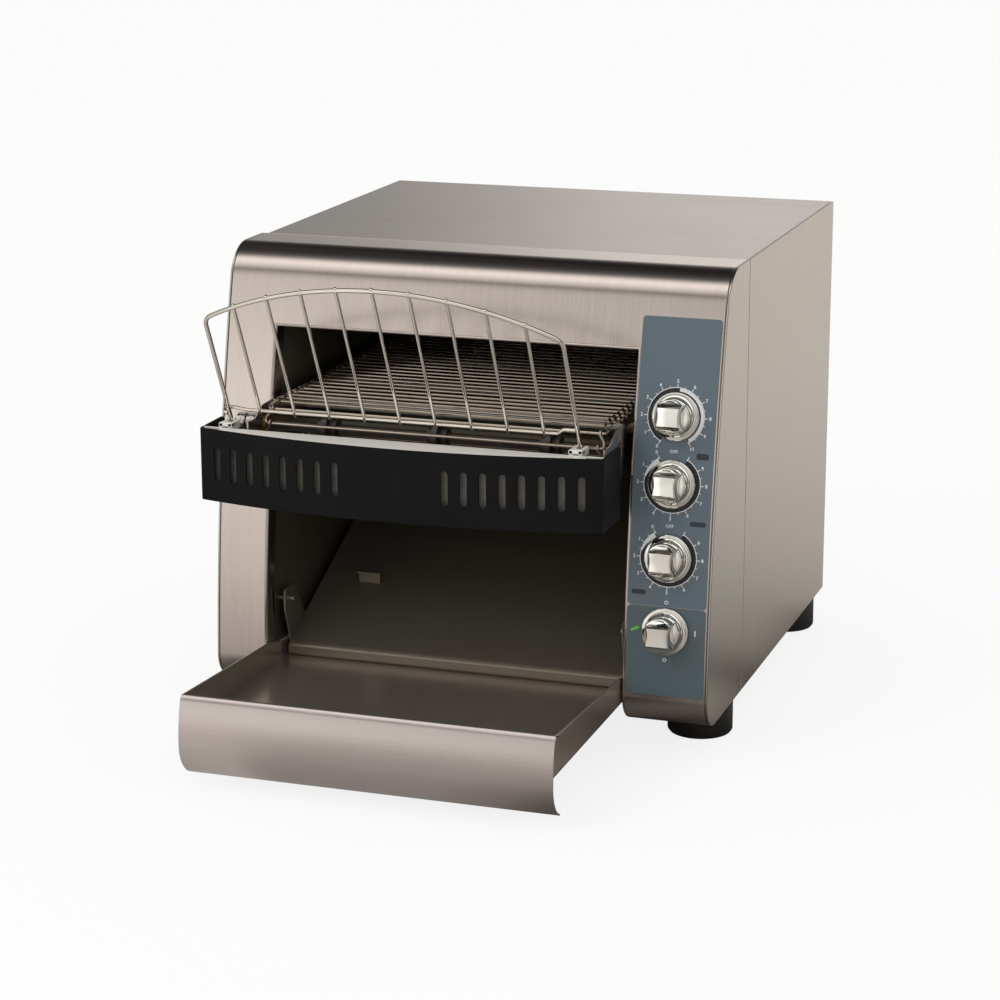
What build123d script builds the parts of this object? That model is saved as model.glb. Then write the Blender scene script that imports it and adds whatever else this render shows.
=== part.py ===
"""Countertop conveyor toaster, in millimetres.

X runs to the right, Y to the rear and Z up, with the floor at Z = 0 and the
origin under the middle of the whole machine.  Bread rides the wire belt in
through the front opening, turns down at the rear of the belt, slides forward
on the chute and lands in the tray.
"""
from build123d import *
from math import asin, atan2, cos, degrees, radians, sin, sqrt
import os

os.makedirs("parts", exist_ok=True)

# ---------------------------------------------------------------- cabinet
CABINET_TOP = 346.0
FOOT_HEIGHT = 24.0
CHEEK_HALF = 188.0  # half the width over the two front cheeks
LEFT_STEP = 5.0  # the left side panel sits this far inside its cheek
REAR_Y = 264.0
SEAM_Y = -16.0  # joint between the front casing and the rear casing
SEAM_GAP = 0.8
SHEET = 1.2
FRONT_SHEET = 1.5
TOUCH = 0.1  # clearance between sheets that are screwed together

# Front outline: flat crown, tight crown bend, long bowed brow, tucked toe
CROWN_Y = -47.0
CROWN_R = 30.0
CROWN_TURN = 75.8
BROW_R = 1400.0
TOE_R = 22.0
SKIN_EDGE_GAP = 0.5

# Front opening
OPENING_LEFT = 40.0 - CHEEK_HALF
OPENING_RIGHT = CHEEK_HALF - 63.0  # the rest is the control pillar
OPENING_TOP = CABINET_TOP - 56.0
LIP_DEPTH = 14.0

# Toasting chamber
LINER_GAP = 1.8  # from the edge of the opening to the inner liner face
CHAMBER_REAR = REAR_Y - 26.0
CHAMBER_TOP = CABINET_TOP - 28.0

# Conveyor
PITCH = 11.0
SPROCKET_TEETH = 10
TOP_RODS = 28
ROD_R = 1.0
BELT_HALF = (OPENING_RIGHT - OPENING_LEFT) / 2 - 6.5
IDLER_Y = -116.0
AXLE_Z = 224.2
IDLER_R = 4.0
DRIVE_R = 4.75
RUNNING = 0.05
TIP_GAP = 0.5
RAIL_HALF = BELT_HALF + 3.0
RAIL_TOP = 240.7
RAIL_BOTTOM = 203.8
RAIL_FRONT = -151.7
RAIL_REAR = IDLER_Y + (TOP_RODS - 1) * PITCH + 24.0
RAIL_FLANGE = 10.0

# Burn guard
GUARD_LEFT = OPENING_LEFT - 31.2
GUARD_RIGHT = OPENING_RIGHT - 2.0
GUARD_TOP = 228.5
GUARD_BOTTOM = 175.5
GUARD_END_Y = -157.3
GUARD_BOW = 18.5
GUARD_FLANGE_Y = -115.0
SLOT_PITCH = 13.6
SLOT_FIRST = CHEEK_HALF / 2 - 53.1
SLOT_COUNT = 8
SLOT_WIDTH = 5.0
SLOT_TOP = 215.5
SLOT_BOTTOM = 190.5

# Wire load guard
ARCH_HALF = (GUARD_RIGHT - GUARD_LEFT) / 2 - 20.25
ARCH_X = (OPENING_LEFT + OPENING_RIGHT) / 2 - 18.8
ARCH_FOOT_Y = -141.0
ARCH_FOOT_Z = 233.0
ARCH_LEAN = 26.8
ARCH_R = 277.0
ARCH_RISE = 123.0
ARCH_CORNER_R = 10.0
ARCH_WIRE_R = 1.6
BAR_WIRE_R = 1.2
BAR_PITCH = (ARCH_HALF + 1.9) / 5
BAR_COUNT = 9
CROSS_V = 8.7
LEG_DROP = 5.4
CLIP_GAP = 0.15

# Product tray and chute
TRAY_FRONT = -275.4
TRAY_REAR = 40.0
TRAY_FLOOR = 39.0
TRAY_RIM = 66.7
TRAY_FACE_R = 100.0
TRAY_LIP_R = 27.0
TRAY_LIP_TURN = 65.7
TRAY_BELLY_Z = 32.0
TRAY_SIDE_GAP = 0.8
CHUTE_FRONT = -86.0
CHUTE_SIDE_GAP = 3.0
CHUTE_LIP_Z = 48.5
CHUTE_SLOPE = 24.0
CHUTE_BEND_R = 60.0
CHUTE_TOP = 250.0
PIN_Y = -86.0
PIN_Z = 84.0
PIN_R = 1.75

# Controls, down the right pillar
KNOB_X = CHEEK_HALF - 32.0
KNOB_ZS = {"speed": 246.5, "top_heat": 200.0, "bottom_heat": 148.0, "power": 96.0}
KNOB_R = 17.5
KNOB_HEIGHT = 24.0
KNOB_LIFT = 1.2
GRIP_WIDTH = 15.0
GRIP_LENGTH = 24.0
SHAFT_R = 3.0
BUSHING_R = 4.7
LABEL_LEFT = OPENING_RIGHT + 2.6
LABEL_RIGHT = CHEEK_HALF - 3.2
LABEL_TOP = CABINET_TOP - 32.0
LABEL_SPLIT = 113.0
LABEL_BOTTOM = 49.0
LABEL_THICK = 0.5

# Heaters
TUBE_R = 4.0
UPPER_TUBE_Z = CHAMBER_TOP - 16.0
UPPER_TUBE_YS = [10.0, 75.0, 140.0]
LOWER_TUBE_YS = [-40.0, 40.0, 120.0]
CAP_R = 7.0
CAP_LENGTH = 11.0
CAP_GAP = 0.1

# Fan
FAN_SIDE = 80.0
FAN_DEPTH = 20.0
FAN_Z = CHAMBER_TOP - 32.0
FAN_BORE_R = 37.5
ROTOR_R = 36.0
HUB_R = 15.0
BLADES = 7

# Drive
CHAIN_PITCH = 6.35
MOTOR_TEETH = 9
DRIVE_TEETH = 18
CHAIN_X = CHEEK_HALF - 11.0
MOTOR_Y = 140.0
MOTOR_Z = 160.0

# Feet
FOOT_R = 24.0
FOOT_FRONT_Y = -43.0
FOOT_REAR_Y = REAR_Y - 36.0

# ------------------------------------------------------- worked-out values
BODY_BOTTOM = FOOT_HEIGHT
BODY_LEFT = -CHEEK_HALF + LEFT_STEP
BODY_RIGHT = CHEEK_HALF
PILLAR_RIGHT = BODY_RIGHT - FRONT_SHEET - SKIN_EDGE_GAP
OPENING_X = (OPENING_LEFT + OPENING_RIGHT) / 2
LINER_LEFT = OPENING_LEFT - LINER_GAP
LINER_RIGHT = OPENING_RIGHT + LINER_GAP
PAN_TOP = BODY_BOTTOM + SHEET

crown_centre = (CROWN_Y, CABINET_TOP - CROWN_R)
brow_tilt = 90.0 - CROWN_TURN
brow_start = (
    crown_centre[0] - CROWN_R * cos(radians(brow_tilt)),
    crown_centre[1] + CROWN_R * sin(radians(brow_tilt)),
)
brow_centre = (
    brow_start[0] + BROW_R * cos(radians(brow_tilt)),
    brow_start[1] - BROW_R * sin(radians(brow_tilt)),
)
toe_tilt = degrees(asin((BODY_BOTTOM + TOE_R - brow_centre[1]) / (BROW_R - TOE_R)))
toe_centre = (
    brow_centre[0] - (BROW_R - TOE_R) * cos(radians(toe_tilt)),
    BODY_BOTTOM + TOE_R,
)

SPROCKET_PITCH_R = PITCH / (2 * sin(radians(180 / SPROCKET_TEETH)))
DRIVE_Y = IDLER_Y + (TOP_RODS - 1) * PITCH
RAIL_LEFT = OPENING_X - RAIL_HALF
RAIL_RIGHT = OPENING_X + RAIL_HALF


# ------------------------------------------------------------ small helpers
def slab(x, y, z, mode=Mode.ADD):
    """A box between two corners, each axis given as a (low, high) pair."""
    middle = ((x[0] + x[1]) / 2, (y[0] + y[1]) / 2, (z[0] + z[1]) / 2)
    with Locations(middle):
        Box(x[1] - x[0], y[1] - y[0], z[1] - z[0], mode=mode)


def rod(start, end, radius, mode=Mode.ADD, sides=0):
    """A bar from one point to another, round or with flat sides."""
    run = Vector(*end) - Vector(*start)
    with BuildSketch(Plane(origin=start, z_dir=tuple(run))) as section:
        if sides:
            RegularPolygon(radius, sides)
        else:
            Circle(radius)
    extrude(section.sketch, amount=run.length, mode=mode)


def keep(piece, name):
    """Label a finished piece and write its STEP file."""
    piece.part.label = name
    export_step(piece.part, f"parts/{name}.step")


def front_curves(inset, rear_y):
    """The casing's front outline, inset from its outer face, in Y and Z."""
    Line((rear_y, CABINET_TOP - inset), (CROWN_Y, CABINET_TOP - inset))
    CenterArc(crown_centre, CROWN_R - inset, 90, CROWN_TURN)
    CenterArc(brow_centre, BROW_R - inset, 90 + CROWN_TURN, brow_tilt - toe_tilt)
    CenterArc(toe_centre, TOE_R - inset, 180 - toe_tilt, 90 + toe_tilt)


def front_band(x, outer, inner):
    """The strip between two insets of the front outline."""
    with BuildSketch(Plane.YZ.offset(x)) as band:
        with BuildLine():
            front_curves(outer, SEAM_Y)
            front_curves(inner, SEAM_Y)
            Line((SEAM_Y, CABINET_TOP - outer), (SEAM_Y, CABINET_TOP - inner))
            Line((toe_centre[0], BODY_BOTTOM + outer), (toe_centre[0], BODY_BOTTOM + inner))
        make_face()
    return band.sketch


def front_region(x, inset, rear_y):
    """All that lies behind the front outline, back to a given Y."""
    with BuildSketch(Plane.YZ.offset(x)) as region:
        with BuildLine():
            front_curves(inset, rear_y)
            Line((toe_centre[0], BODY_BOTTOM + inset), (rear_y, BODY_BOTTOM + inset))
            Line((rear_y, BODY_BOTTOM + inset), (rear_y, CABINET_TOP - inset))
        make_face()
    return region.sketch


def brow_plane(x, z):
    """A plane on the bowed front face, with its normal pointing outwards."""
    tilt = asin((z - brow_centre[1]) / BROW_R)
    y = brow_centre[0] - BROW_R * cos(tilt)
    return Plane(origin=(x, y, z), x_dir=(1, 0, 0), z_dir=(0, -cos(tilt), sin(tilt)))


# =================================================================== casing
# Front casing: one bent skin over the crown, brow and toe, with the opening
# cut through it and a folded lip round the opening.
lip_left = OPENING_LEFT - FRONT_SHEET
lip_right = OPENING_RIGHT + FRONT_SHEET
lip_top = OPENING_TOP + FRONT_SHEET
with BuildPart() as front_casing:
    extrude(front_band(-PILLAR_RIGHT, 0, FRONT_SHEET), amount=2 * PILLAR_RIGHT)
    for low, high in ((-PILLAR_RIGHT, lip_left), (lip_right, PILLAR_RIGHT)):
        slab(
            (low, high),
            (toe_centre[0], toe_centre[0] + LIP_DEPTH),
            (BODY_BOTTOM, BODY_BOTTOM + FRONT_SHEET),
        )
    slab((lip_left, lip_right), (-200, SEAM_Y), (0, lip_top), mode=Mode.SUBTRACT)
    for plane in KNOB_ZS.values():
        with BuildSketch(brow_plane(KNOB_X, plane).offset(2)) as hole:
            Circle(BUSHING_R + TOUCH)
        extrude(hole.sketch, amount=-8, mode=Mode.SUBTRACT)
with BuildPart() as casing_lip:
    extrude(front_band(lip_left, 0, LIP_DEPTH), amount=lip_right - lip_left)
    slab((lip_left, lip_right), (-200, SEAM_Y), (lip_top, CABINET_TOP), mode=Mode.SUBTRACT)
    slab((OPENING_LEFT, OPENING_RIGHT), (-200, SEAM_Y), (0, OPENING_TOP), mode=Mode.SUBTRACT)
with front_casing:
    add(casing_lip.part)
keep(front_casing, "front_casing")

# Cheeks: flat plates that close the two sides of the front casing, each with
# a bent rib behind the skin.
RIB_WIDTH = 9.0
rib_inset = FRONT_SHEET + RUNNING
for side, name in ((1, "front_cheek_right"), (-1, "front_cheek_left")):
    outer = side * CHEEK_HALF
    inner = side * (CHEEK_HALF - FRONT_SHEET)
    rib_in = side * (PILLAR_RIGHT - RIB_WIDTH)
    with BuildPart() as cheek:
        extrude(front_region(min(outer, inner), 0, SEAM_Y), amount=FRONT_SHEET)
        extrude(
            front_band(min(rib_in, inner), rib_inset, rib_inset + FRONT_SHEET),
            amount=abs(inner - rib_in),
        )
        if side < 0:
            slab(
                (outer, BODY_LEFT + SHEET),
                (SEAM_Y - FRONT_SHEET, SEAM_Y),
                (BODY_BOTTOM, CABINET_TOP - rib_inset),
            )
    keep(cheek, name)

# Rear casing: top cover, two side panels and the rear panel.
COVER_FLANGE = 12.0
casing_front = SEAM_Y + SEAM_GAP
panel_top = CABINET_TOP - SHEET - TOUCH
right_panel_in = BODY_RIGHT - SHEET
left_panel_in = BODY_LEFT + SHEET
cover_right = right_panel_in - SKIN_EDGE_GAP
with BuildPart() as top_cover:
    slab((BODY_LEFT, cover_right), (casing_front, REAR_Y), (CABINET_TOP - SHEET, CABINET_TOP))
    slab(
        (cover_right - SHEET, cover_right),
        (casing_front, REAR_Y - 4),
        (CABINET_TOP - COVER_FLANGE, CABINET_TOP),
    )
    slab(
        (BODY_LEFT + 20, cover_right - 20),
        (casing_front, casing_front + SHEET),
        (CABINET_TOP - COVER_FLANGE, CABINET_TOP),
    )
keep(top_cover, "top_cover")

rear_flange_y = (REAR_Y - SHEET - TOUCH - SHEET, REAR_Y - SHEET - TOUCH)
panel_sides = {
    "side_panel_right": (right_panel_in, BODY_RIGHT, CABINET_TOP, right_panel_in - COVER_FLANGE),
    "side_panel_left": (left_panel_in, BODY_LEFT, panel_top, left_panel_in + COVER_FLANGE),
}
SCREW_R = 2.0
SCREW_ZS = (60.0, 185.0, CABINET_TOP - 21.0)
for name, (inner, outer, top, flange) in panel_sides.items():
    with BuildPart() as panel:
        slab((min(inner, outer), max(inner, outer)), (casing_front, REAR_Y), (BODY_BOTTOM, top))
        slab(
            (min(inner, flange), max(inner, flange)),
            rear_flange_y,
            (BODY_BOTTOM + 6, CABINET_TOP - 14),
        )
        for z in SCREW_ZS:
            middle = (inner + flange) / 2
            rod((middle, REAR_Y - 10, z), (middle, REAR_Y, z), SCREW_R, Mode.SUBTRACT)
    keep(panel, name)

# Rear panel: louvred over the control bay, round hole for the fan, and a
# hole for the mains gland.
LOUVRE_ZS = [80 + 14 * n for n in range(8)]
bay_x = (LINER_RIGHT + right_panel_in) / 2
GLAND_X = KNOB_X
GLAND_Z = 48.0
GLAND_R = 8.0
GLAND_OUT = 11.4
GUARD_SCREW = 35.5
with BuildPart() as rear_panel:
    slab(
        (left_panel_in + TOUCH, right_panel_in - TOUCH),
        (REAR_Y - SHEET, REAR_Y),
        (BODY_BOTTOM + TOUCH, panel_top),
    )
    for z in LOUVRE_ZS:
        slab((bay_x - 20, bay_x + 20), (REAR_Y - 4, REAR_Y + 1), (z - 2.5, z + 2.5), Mode.SUBTRACT)
    rod((OPENING_X, REAR_Y - 5, FAN_Z), (OPENING_X, REAR_Y + 1, FAN_Z), FAN_BORE_R, Mode.SUBTRACT)
    rod((GLAND_X, REAR_Y - 5, GLAND_Z), (GLAND_X, REAR_Y + 1, GLAND_Z), GLAND_R, Mode.SUBTRACT)
    for side in (-1, 1):
        for up in (-1, 1):
            x = OPENING_X + side * GUARD_SCREW
            z = FAN_Z + up * GUARD_SCREW
            rod((x, REAR_Y - 5, z), (x, REAR_Y + 1, z), SCREW_R + TOUCH, Mode.SUBTRACT)
    for middle in (left_panel_in + COVER_FLANGE / 2, right_panel_in - COVER_FLANGE / 2):
        for z in SCREW_ZS:
            rod((middle, REAR_Y - 5, z), (middle, REAR_Y + 1, z), SCREW_R + TOUCH, Mode.SUBTRACT)
keep(rear_panel, "rear_panel")

# Base pan: a tray under both bays and the chamber, open at the front where
# the product tray comes out.
PAN_UPSTAND = 14.0
PAN_NOTCH_Y = -28.0
pan_front = toe_centre[0] + LIP_DEPTH + 1
feet_xs = (BODY_LEFT + FOOT_R, BODY_RIGHT - FOOT_R)
feet_ys = (FOOT_FRONT_Y, FOOT_REAR_Y)
STUD_R = 3.0
pan_x = (left_panel_in + TOUCH, CHEEK_HALF - FRONT_SHEET - TOUCH)
with BuildPart() as base_pan:
    slab(
        pan_x,
        (pan_front, REAR_Y - 2 * SHEET - 4 * TOUCH),
        (BODY_BOTTOM, PAN_TOP),
    )
    slab(
        (OPENING_LEFT, OPENING_RIGHT),
        (pan_front - 1, PAN_NOTCH_Y),
        (BODY_BOTTOM - 1, PAN_TOP + 1),
        Mode.SUBTRACT,
    )
    for low in (pan_x[0], pan_x[1] - SHEET):
        slab((low, low + SHEET), (-10, REAR_Y - 20), (BODY_BOTTOM, BODY_BOTTOM + PAN_UPSTAND))
    for x in feet_xs:
        for y in feet_ys:
            rod((x, y, 0), (x, y, PAN_TOP + 5), STUD_R + TOUCH, Mode.SUBTRACT)
keep(base_pan, "base_pan")

# Feet: rubber cylinders with a hollow underneath for the screw head.
FOOT_HOLLOW_R = 9.0
FOOT_HOLLOW = 8.0
with BuildPart() as foot:
    with Locations((0, 0, FOOT_HEIGHT / 2)):
        Cylinder(FOOT_R, FOOT_HEIGHT)
    chamfer(foot.edges().filter_by(GeomType.CIRCLE).group_by(Axis.Z)[0], 2)
    rod((0, 0, -1), (0, 0, FOOT_HOLLOW), FOOT_HOLLOW_R, Mode.SUBTRACT)
    rod((0, 0, 0), (0, 0, FOOT_HEIGHT + 1), STUD_R + TOUCH, Mode.SUBTRACT)
with BuildPart() as feet:
    for x in feet_xs:
        with Locations((x, feet_ys[0], 0), (x, feet_ys[1], 0)):
            add(foot.part)
keep(feet, "feet")

with BuildPart() as foot_screws:
    for x in feet_xs:
        for y in feet_ys:
            rod((x, y, FOOT_HOLLOW - 3), (x, y, FOOT_HOLLOW), STUD_R * 2, sides=6)
            rod((x, y, FOOT_HOLLOW), (x, y, PAN_TOP + 8), STUD_R, sides=8)
            with BuildSketch(Plane.XY.offset(PAN_TOP)) as nut:
                with Locations((x, y)):
                    RegularPolygon(STUD_R * 1.9, 6)
            extrude(nut.sketch, amount=5)
keep(foot_screws, "foot_screws")

# Mains inlet: a plain bushing in the rear panel.
with BuildPart() as inlet_gland:
    rod((GLAND_X, REAR_Y, GLAND_Z), (GLAND_X, REAR_Y + GLAND_OUT, GLAND_Z), GLAND_R + 4)
    rod((GLAND_X, REAR_Y - 8, GLAND_Z), (GLAND_X, REAR_Y, GLAND_Z), GLAND_R - TOUCH)
    rod((GLAND_X, REAR_Y - 9, GLAND_Z), (GLAND_X, REAR_Y + 20, GLAND_Z), 4.5, Mode.SUBTRACT)
    chamfer(inlet_gland.edges().filter_by(GeomType.CIRCLE).sort_by(Axis.Y)[-1], 1.5)
keep(inlet_gland, "inlet_gland")

# ================================================================== chamber
# Side liners: dark sheet walls with holes for the shafts, tubes and pins.
SHAFT_HOLE_R = 9.0
tube_hole_r = TUBE_R + 0.5
liner_x = {
    "chamber_wall_left": (LINER_LEFT - SHEET, LINER_LEFT),
    "chamber_wall_right": (LINER_RIGHT, LINER_RIGHT + SHEET),
}
tube_seats = [(y, UPPER_TUBE_Z) for y in UPPER_TUBE_YS] + [(y, AXLE_Z) for y in LOWER_TUBE_YS]
for name, (low, high) in liner_x.items():
    with BuildPart() as liner:
        extrude(front_region(low, FRONT_SHEET + TOUCH, CHAMBER_REAR), amount=SHEET)
        slab((low, high), (-200, CHAMBER_REAR), (CHAMBER_TOP, CABINET_TOP), Mode.SUBTRACT)
        for y, z in tube_seats:
            rod((low - 1, y, z), (high + 1, y, z), tube_hole_r, Mode.SUBTRACT)
        rod((low - 1, DRIVE_Y, AXLE_Z), (high + 1, DRIVE_Y, AXLE_Z), SHAFT_HOLE_R, Mode.SUBTRACT)
        rod((low - 1, PIN_Y, PIN_Z), (high + 1, PIN_Y, PIN_Z), PIN_R + RUNNING, Mode.SUBTRACT)
    keep(liner, name)

# Rear wall of the chamber, with air slots in front of the fan.
AIR_SLOTS = 7
air_z = (FAN_Z - 24, FAN_Z + 22)
with BuildPart() as chamber_wall_rear:
    slab(
        (LINER_LEFT + TOUCH, LINER_RIGHT - TOUCH),
        (CHAMBER_REAR - SHEET, CHAMBER_REAR),
        (PAN_TOP + TOUCH, CHAMBER_TOP),
    )
    for n in range(AIR_SLOTS):
        x = OPENING_X + (n - (AIR_SLOTS - 1) / 2) * 9
        slab((x - 2, x + 2), (CHAMBER_REAR - 4, CHAMBER_REAR + 1), air_z, Mode.SUBTRACT)
keep(chamber_wall_rear, "chamber_wall_rear")

# Chamber roof, which is the upper reflector, with its front edge turned down.
with BuildPart() as chamber_roof:
    slab(
        (LINER_LEFT - SHEET, LINER_RIGHT + SHEET),
        (-60, CHAMBER_REAR),
        (CHAMBER_TOP + TOUCH, CHAMBER_TOP + TOUCH + SHEET),
    )
    slab(
        (LINER_LEFT + TOUCH, LINER_RIGHT - TOUCH),
        (-60, -60 + SHEET),
        (OPENING_TOP + 4, CHAMBER_TOP + TOUCH + SHEET),
    )
keep(chamber_roof, "chamber_roof")

# Quartz heating tubes and their ceramic ends.
cap_left = (LINER_LEFT - SHEET - TOUCH - CAP_LENGTH, LINER_LEFT - SHEET - TOUCH)
cap_right = (LINER_RIGHT + SHEET + TOUCH, LINER_RIGHT + SHEET + TOUCH + CAP_LENGTH)
with BuildPart() as heater_tubes:
    for y, z in tube_seats:
        rod((cap_left[0] + 1, y, z), (cap_right[1] - 1, y, z), TUBE_R, sides=12)
keep(heater_tubes, "heater_tubes")

with BuildPart() as ceramic_caps:
    for y, z in tube_seats:
        for low, high in (cap_left, cap_right):
            slab((low, high), (y - CAP_R, y + CAP_R), (z - CAP_R, z + CAP_R))
            rod((low, y, z), (high, y, z), TUBE_R + CAP_GAP, Mode.SUBTRACT, sides=12)
keep(ceramic_caps, "ceramic_caps")

# ================================================================= conveyor
# Rails: channel-shaped side plates that carry both shafts and the edges of
# the belt's two runs.
BUSH_R = 6.5
RAIL_CORNER_R = 9.0
flange_y = (IDLER_Y + 14, DRIVE_Y - 8)
NOSE_LOW = 233.5
SPACER_YS = (-70.0, 150.0)
SPACER_Z = 231.0
SPACER_R = 5.0
for name, web, turn in (
    ("conveyor_rail_left", RAIL_LEFT, 1),
    ("conveyor_rail_right", RAIL_RIGHT, -1),
):
    web_x = tuple(sorted((web, web + turn * SHEET)))
    flange_x = tuple(sorted((web, web + turn * RAIL_FLANGE)))
    with BuildPart() as rail:
        slab(web_x, (RAIL_FRONT, RAIL_REAR), (RAIL_BOTTOM, RAIL_TOP))
        fillet(rail.edges().filter_by(Axis.X).group_by(Axis.Y)[-1], RAIL_CORNER_R)
        with BuildSketch(Plane.YZ.offset(web_x[0] - 1)) as nose:
            with BuildLine():
                Polyline(
                    (RAIL_FRONT - 1, NOSE_LOW),
                    (IDLER_Y - 22, NOSE_LOW),
                    (IDLER_Y - 8, RAIL_TOP + 1),
                    (RAIL_FRONT - 1, RAIL_TOP + 1),
                    close=True,
                )
            make_face()
        extrude(nose.sketch, amount=SHEET + 2, mode=Mode.SUBTRACT)
        slab(flange_x, flange_y, (RAIL_TOP - SHEET, RAIL_TOP))
        slab(flange_x, flange_y, (RAIL_BOTTOM, RAIL_BOTTOM + SHEET))
        for y in (IDLER_Y, DRIVE_Y):
            rod((web - 2, y, AXLE_Z), (web + 2, y, AXLE_Z), BUSH_R + TOUCH / 2, Mode.SUBTRACT)
        for y in LOWER_TUBE_YS:
            rod((web - 2, y, AXLE_Z), (web + 2, y, AXLE_Z), tube_hole_r, Mode.SUBTRACT)
        for y in SPACER_YS:
            rod((web - 2, y, SPACER_Z), (web + 2, y, SPACER_Z), SCREW_R, Mode.SUBTRACT)
    keep(rail, name)

with BuildPart() as rail_spacers:
    for low, high in ((LINER_LEFT, RAIL_LEFT), (RAIL_RIGHT, LINER_RIGHT)):
        for y in SPACER_YS:
            rod((low, y, SPACER_Z), (high, y, SPACER_Z), SPACER_R)
            rod((low, y, SPACER_Z), (high, y, SPACER_Z), SCREW_R, Mode.SUBTRACT)
keep(rail_spacers, "rail_spacers")

# Bushes: flanged bronze, pressed into the rail webs from inside.
BUSH_FLANGE_R = 8.5
BUSH_FLANGE = 1.2
with BuildPart() as shaft_bushes:
    for y, shaft_r in ((IDLER_Y, IDLER_R), (DRIVE_Y, DRIVE_R)):
        for web, turn in ((RAIL_LEFT, 1), (RAIL_RIGHT, -1)):
            face = web + turn * SHEET
            rod((web, y, AXLE_Z), (face, y, AXLE_Z), BUSH_R)
            rod((face, y, AXLE_Z), (face + turn * BUSH_FLANGE, y, AXLE_Z), BUSH_FLANGE_R)
            rod((web - 3, y, AXLE_Z), (web + 3, y, AXLE_Z), shaft_r + RUNNING, Mode.SUBTRACT)
keep(shaft_bushes, "shaft_bushes")

# Shafts.  The idler's left end reaches out to its collar behind the guard;
# the drive shaft's right end carries the chain sprocket.
with BuildPart() as idler_shaft:
    rod((RAIL_LEFT - 24, IDLER_Y, AXLE_Z), (RAIL_RIGHT - TOUCH, IDLER_Y, AXLE_Z), IDLER_R)
keep(idler_shaft, "idler_shaft")
with BuildPart() as drive_shaft:
    rod((RAIL_LEFT - 3, DRIVE_Y, AXLE_Z), (CHAIN_X + 5, DRIVE_Y, AXLE_Z), DRIVE_R)
keep(drive_shaft, "drive_shaft")

with BuildPart() as idler_collars:
    for start in (RAIL_LEFT - 14, RAIL_LEFT - 21.7):
        rod((start, IDLER_Y, AXLE_Z), (start + 7, IDLER_Y, AXLE_Z), 7.5)
    rod((RAIL_LEFT - 24, IDLER_Y, AXLE_Z), (RAIL_LEFT, IDLER_Y, AXLE_Z), IDLER_R + 0.02, Mode.SUBTRACT)
keep(idler_collars, "idler_collars")

# Toothed wheels under the belt.  Their tips stay inside the belt's rods.
WHEEL_OFFSETS = (46.0 - BELT_HALF, 0.0, BELT_HALF - 46.0)
WHEEL_WIDTH = 4.0
HUB_WIDTH = 14.0
tip_r = SPROCKET_PITCH_R - ROD_R - TIP_GAP
root_r = tip_r - 3.2


def toothed_disc(plane, teeth, root, tip, width):
    """A disc whose rim carries evenly spaced tapered teeth."""
    with BuildPart() as disc:
        with BuildSketch(plane) as outline:
            Circle(root)
            with PolarLocations(0, teeth):
                base = root * sin(radians(70 / teeth))
                crest = tip * sin(radians(34 / teeth))
                with BuildLine():
                    Polyline((root * 0.8, -base), (tip, -crest), (tip, crest), (root * 0.8, base), close=True)
                make_face()
        extrude(outline.sketch, amount=width / 2, both=True)
    return disc.part


for name, y, shaft_r in (
    ("idler_wheels", IDLER_Y, IDLER_R),
    ("drive_wheels", DRIVE_Y, DRIVE_R),
):
    with BuildPart() as wheels:
        for offset_x in WHEEL_OFFSETS:
            x = OPENING_X + offset_x
            centre = Plane(origin=(x, y, AXLE_Z), x_dir=(0, 1, 0), z_dir=(1, 0, 0))
            add(toothed_disc(centre, SPROCKET_TEETH, root_r, tip_r, WHEEL_WIDTH))
            rod((x - HUB_WIDTH / 2, y, AXLE_Z), (x + HUB_WIDTH / 2, y, AXLE_Z), shaft_r + 3.5)
            rod((x - HUB_WIDTH, y, AXLE_Z), (x + HUB_WIDTH, y, AXLE_Z), shaft_r + 0.02, Mode.SUBTRACT)
    keep(wheels, name)

# Wire belt: one strand per pitch, each a crosswise wire with short arms that
# hook towards the next strand.  All strands are alike.
ARM_OFFSET = BELT_HALF - 4.0
ARM_WIDTH = 1.8
HOOK_GAP = 0.15
with BuildPart() as strand:
    with BuildSketch(Plane.YZ.offset(-BELT_HALF)) as wire_section:
        RegularPolygon(ROD_R, 6, rotation=30)
    extrude(wire_section.sketch, amount=2 * BELT_HALF)
    for arm_x in (-ARM_OFFSET, ARM_OFFSET):
        slab(
            (arm_x - ARM_WIDTH / 2, arm_x + ARM_WIDTH / 2),
            (0, PITCH - ROD_R - HOOK_GAP),
            (-ROD_R * 0.45, ROD_R * 0.45),
        )

belt_points = []
for n in range(TOP_RODS):
    belt_points.append((IDLER_Y + n * PITCH, AXLE_Z + SPROCKET_PITCH_R))
half_turn = SPROCKET_TEETH // 2
for n in range(1, half_turn):
    angle = radians(90 - 180 * n / half_turn)
    belt_points.append((DRIVE_Y + SPROCKET_PITCH_R * cos(angle), AXLE_Z + SPROCKET_PITCH_R * sin(angle)))
for n in range(TOP_RODS):
    belt_points.append((DRIVE_Y - n * PITCH, AXLE_Z - SPROCKET_PITCH_R))
for n in range(1, half_turn):
    angle = radians(-90 - 180 * n / half_turn)
    belt_points.append((IDLER_Y + SPROCKET_PITCH_R * cos(angle), AXLE_Z + SPROCKET_PITCH_R * sin(angle)))

strand_places = []
for here, there in zip(belt_points, belt_points[1:] + belt_points[:1]):
    heading = degrees(atan2(there[1] - here[1], there[0] - here[0]))
    strand_places.append(Location((OPENING_X, here[0], here[1]), (heading, 0, 0)))
with BuildPart() as conveyor_belt:
    with Locations(*strand_places):
        add(strand.part)
keep(conveyor_belt, "conveyor_belt")

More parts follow.
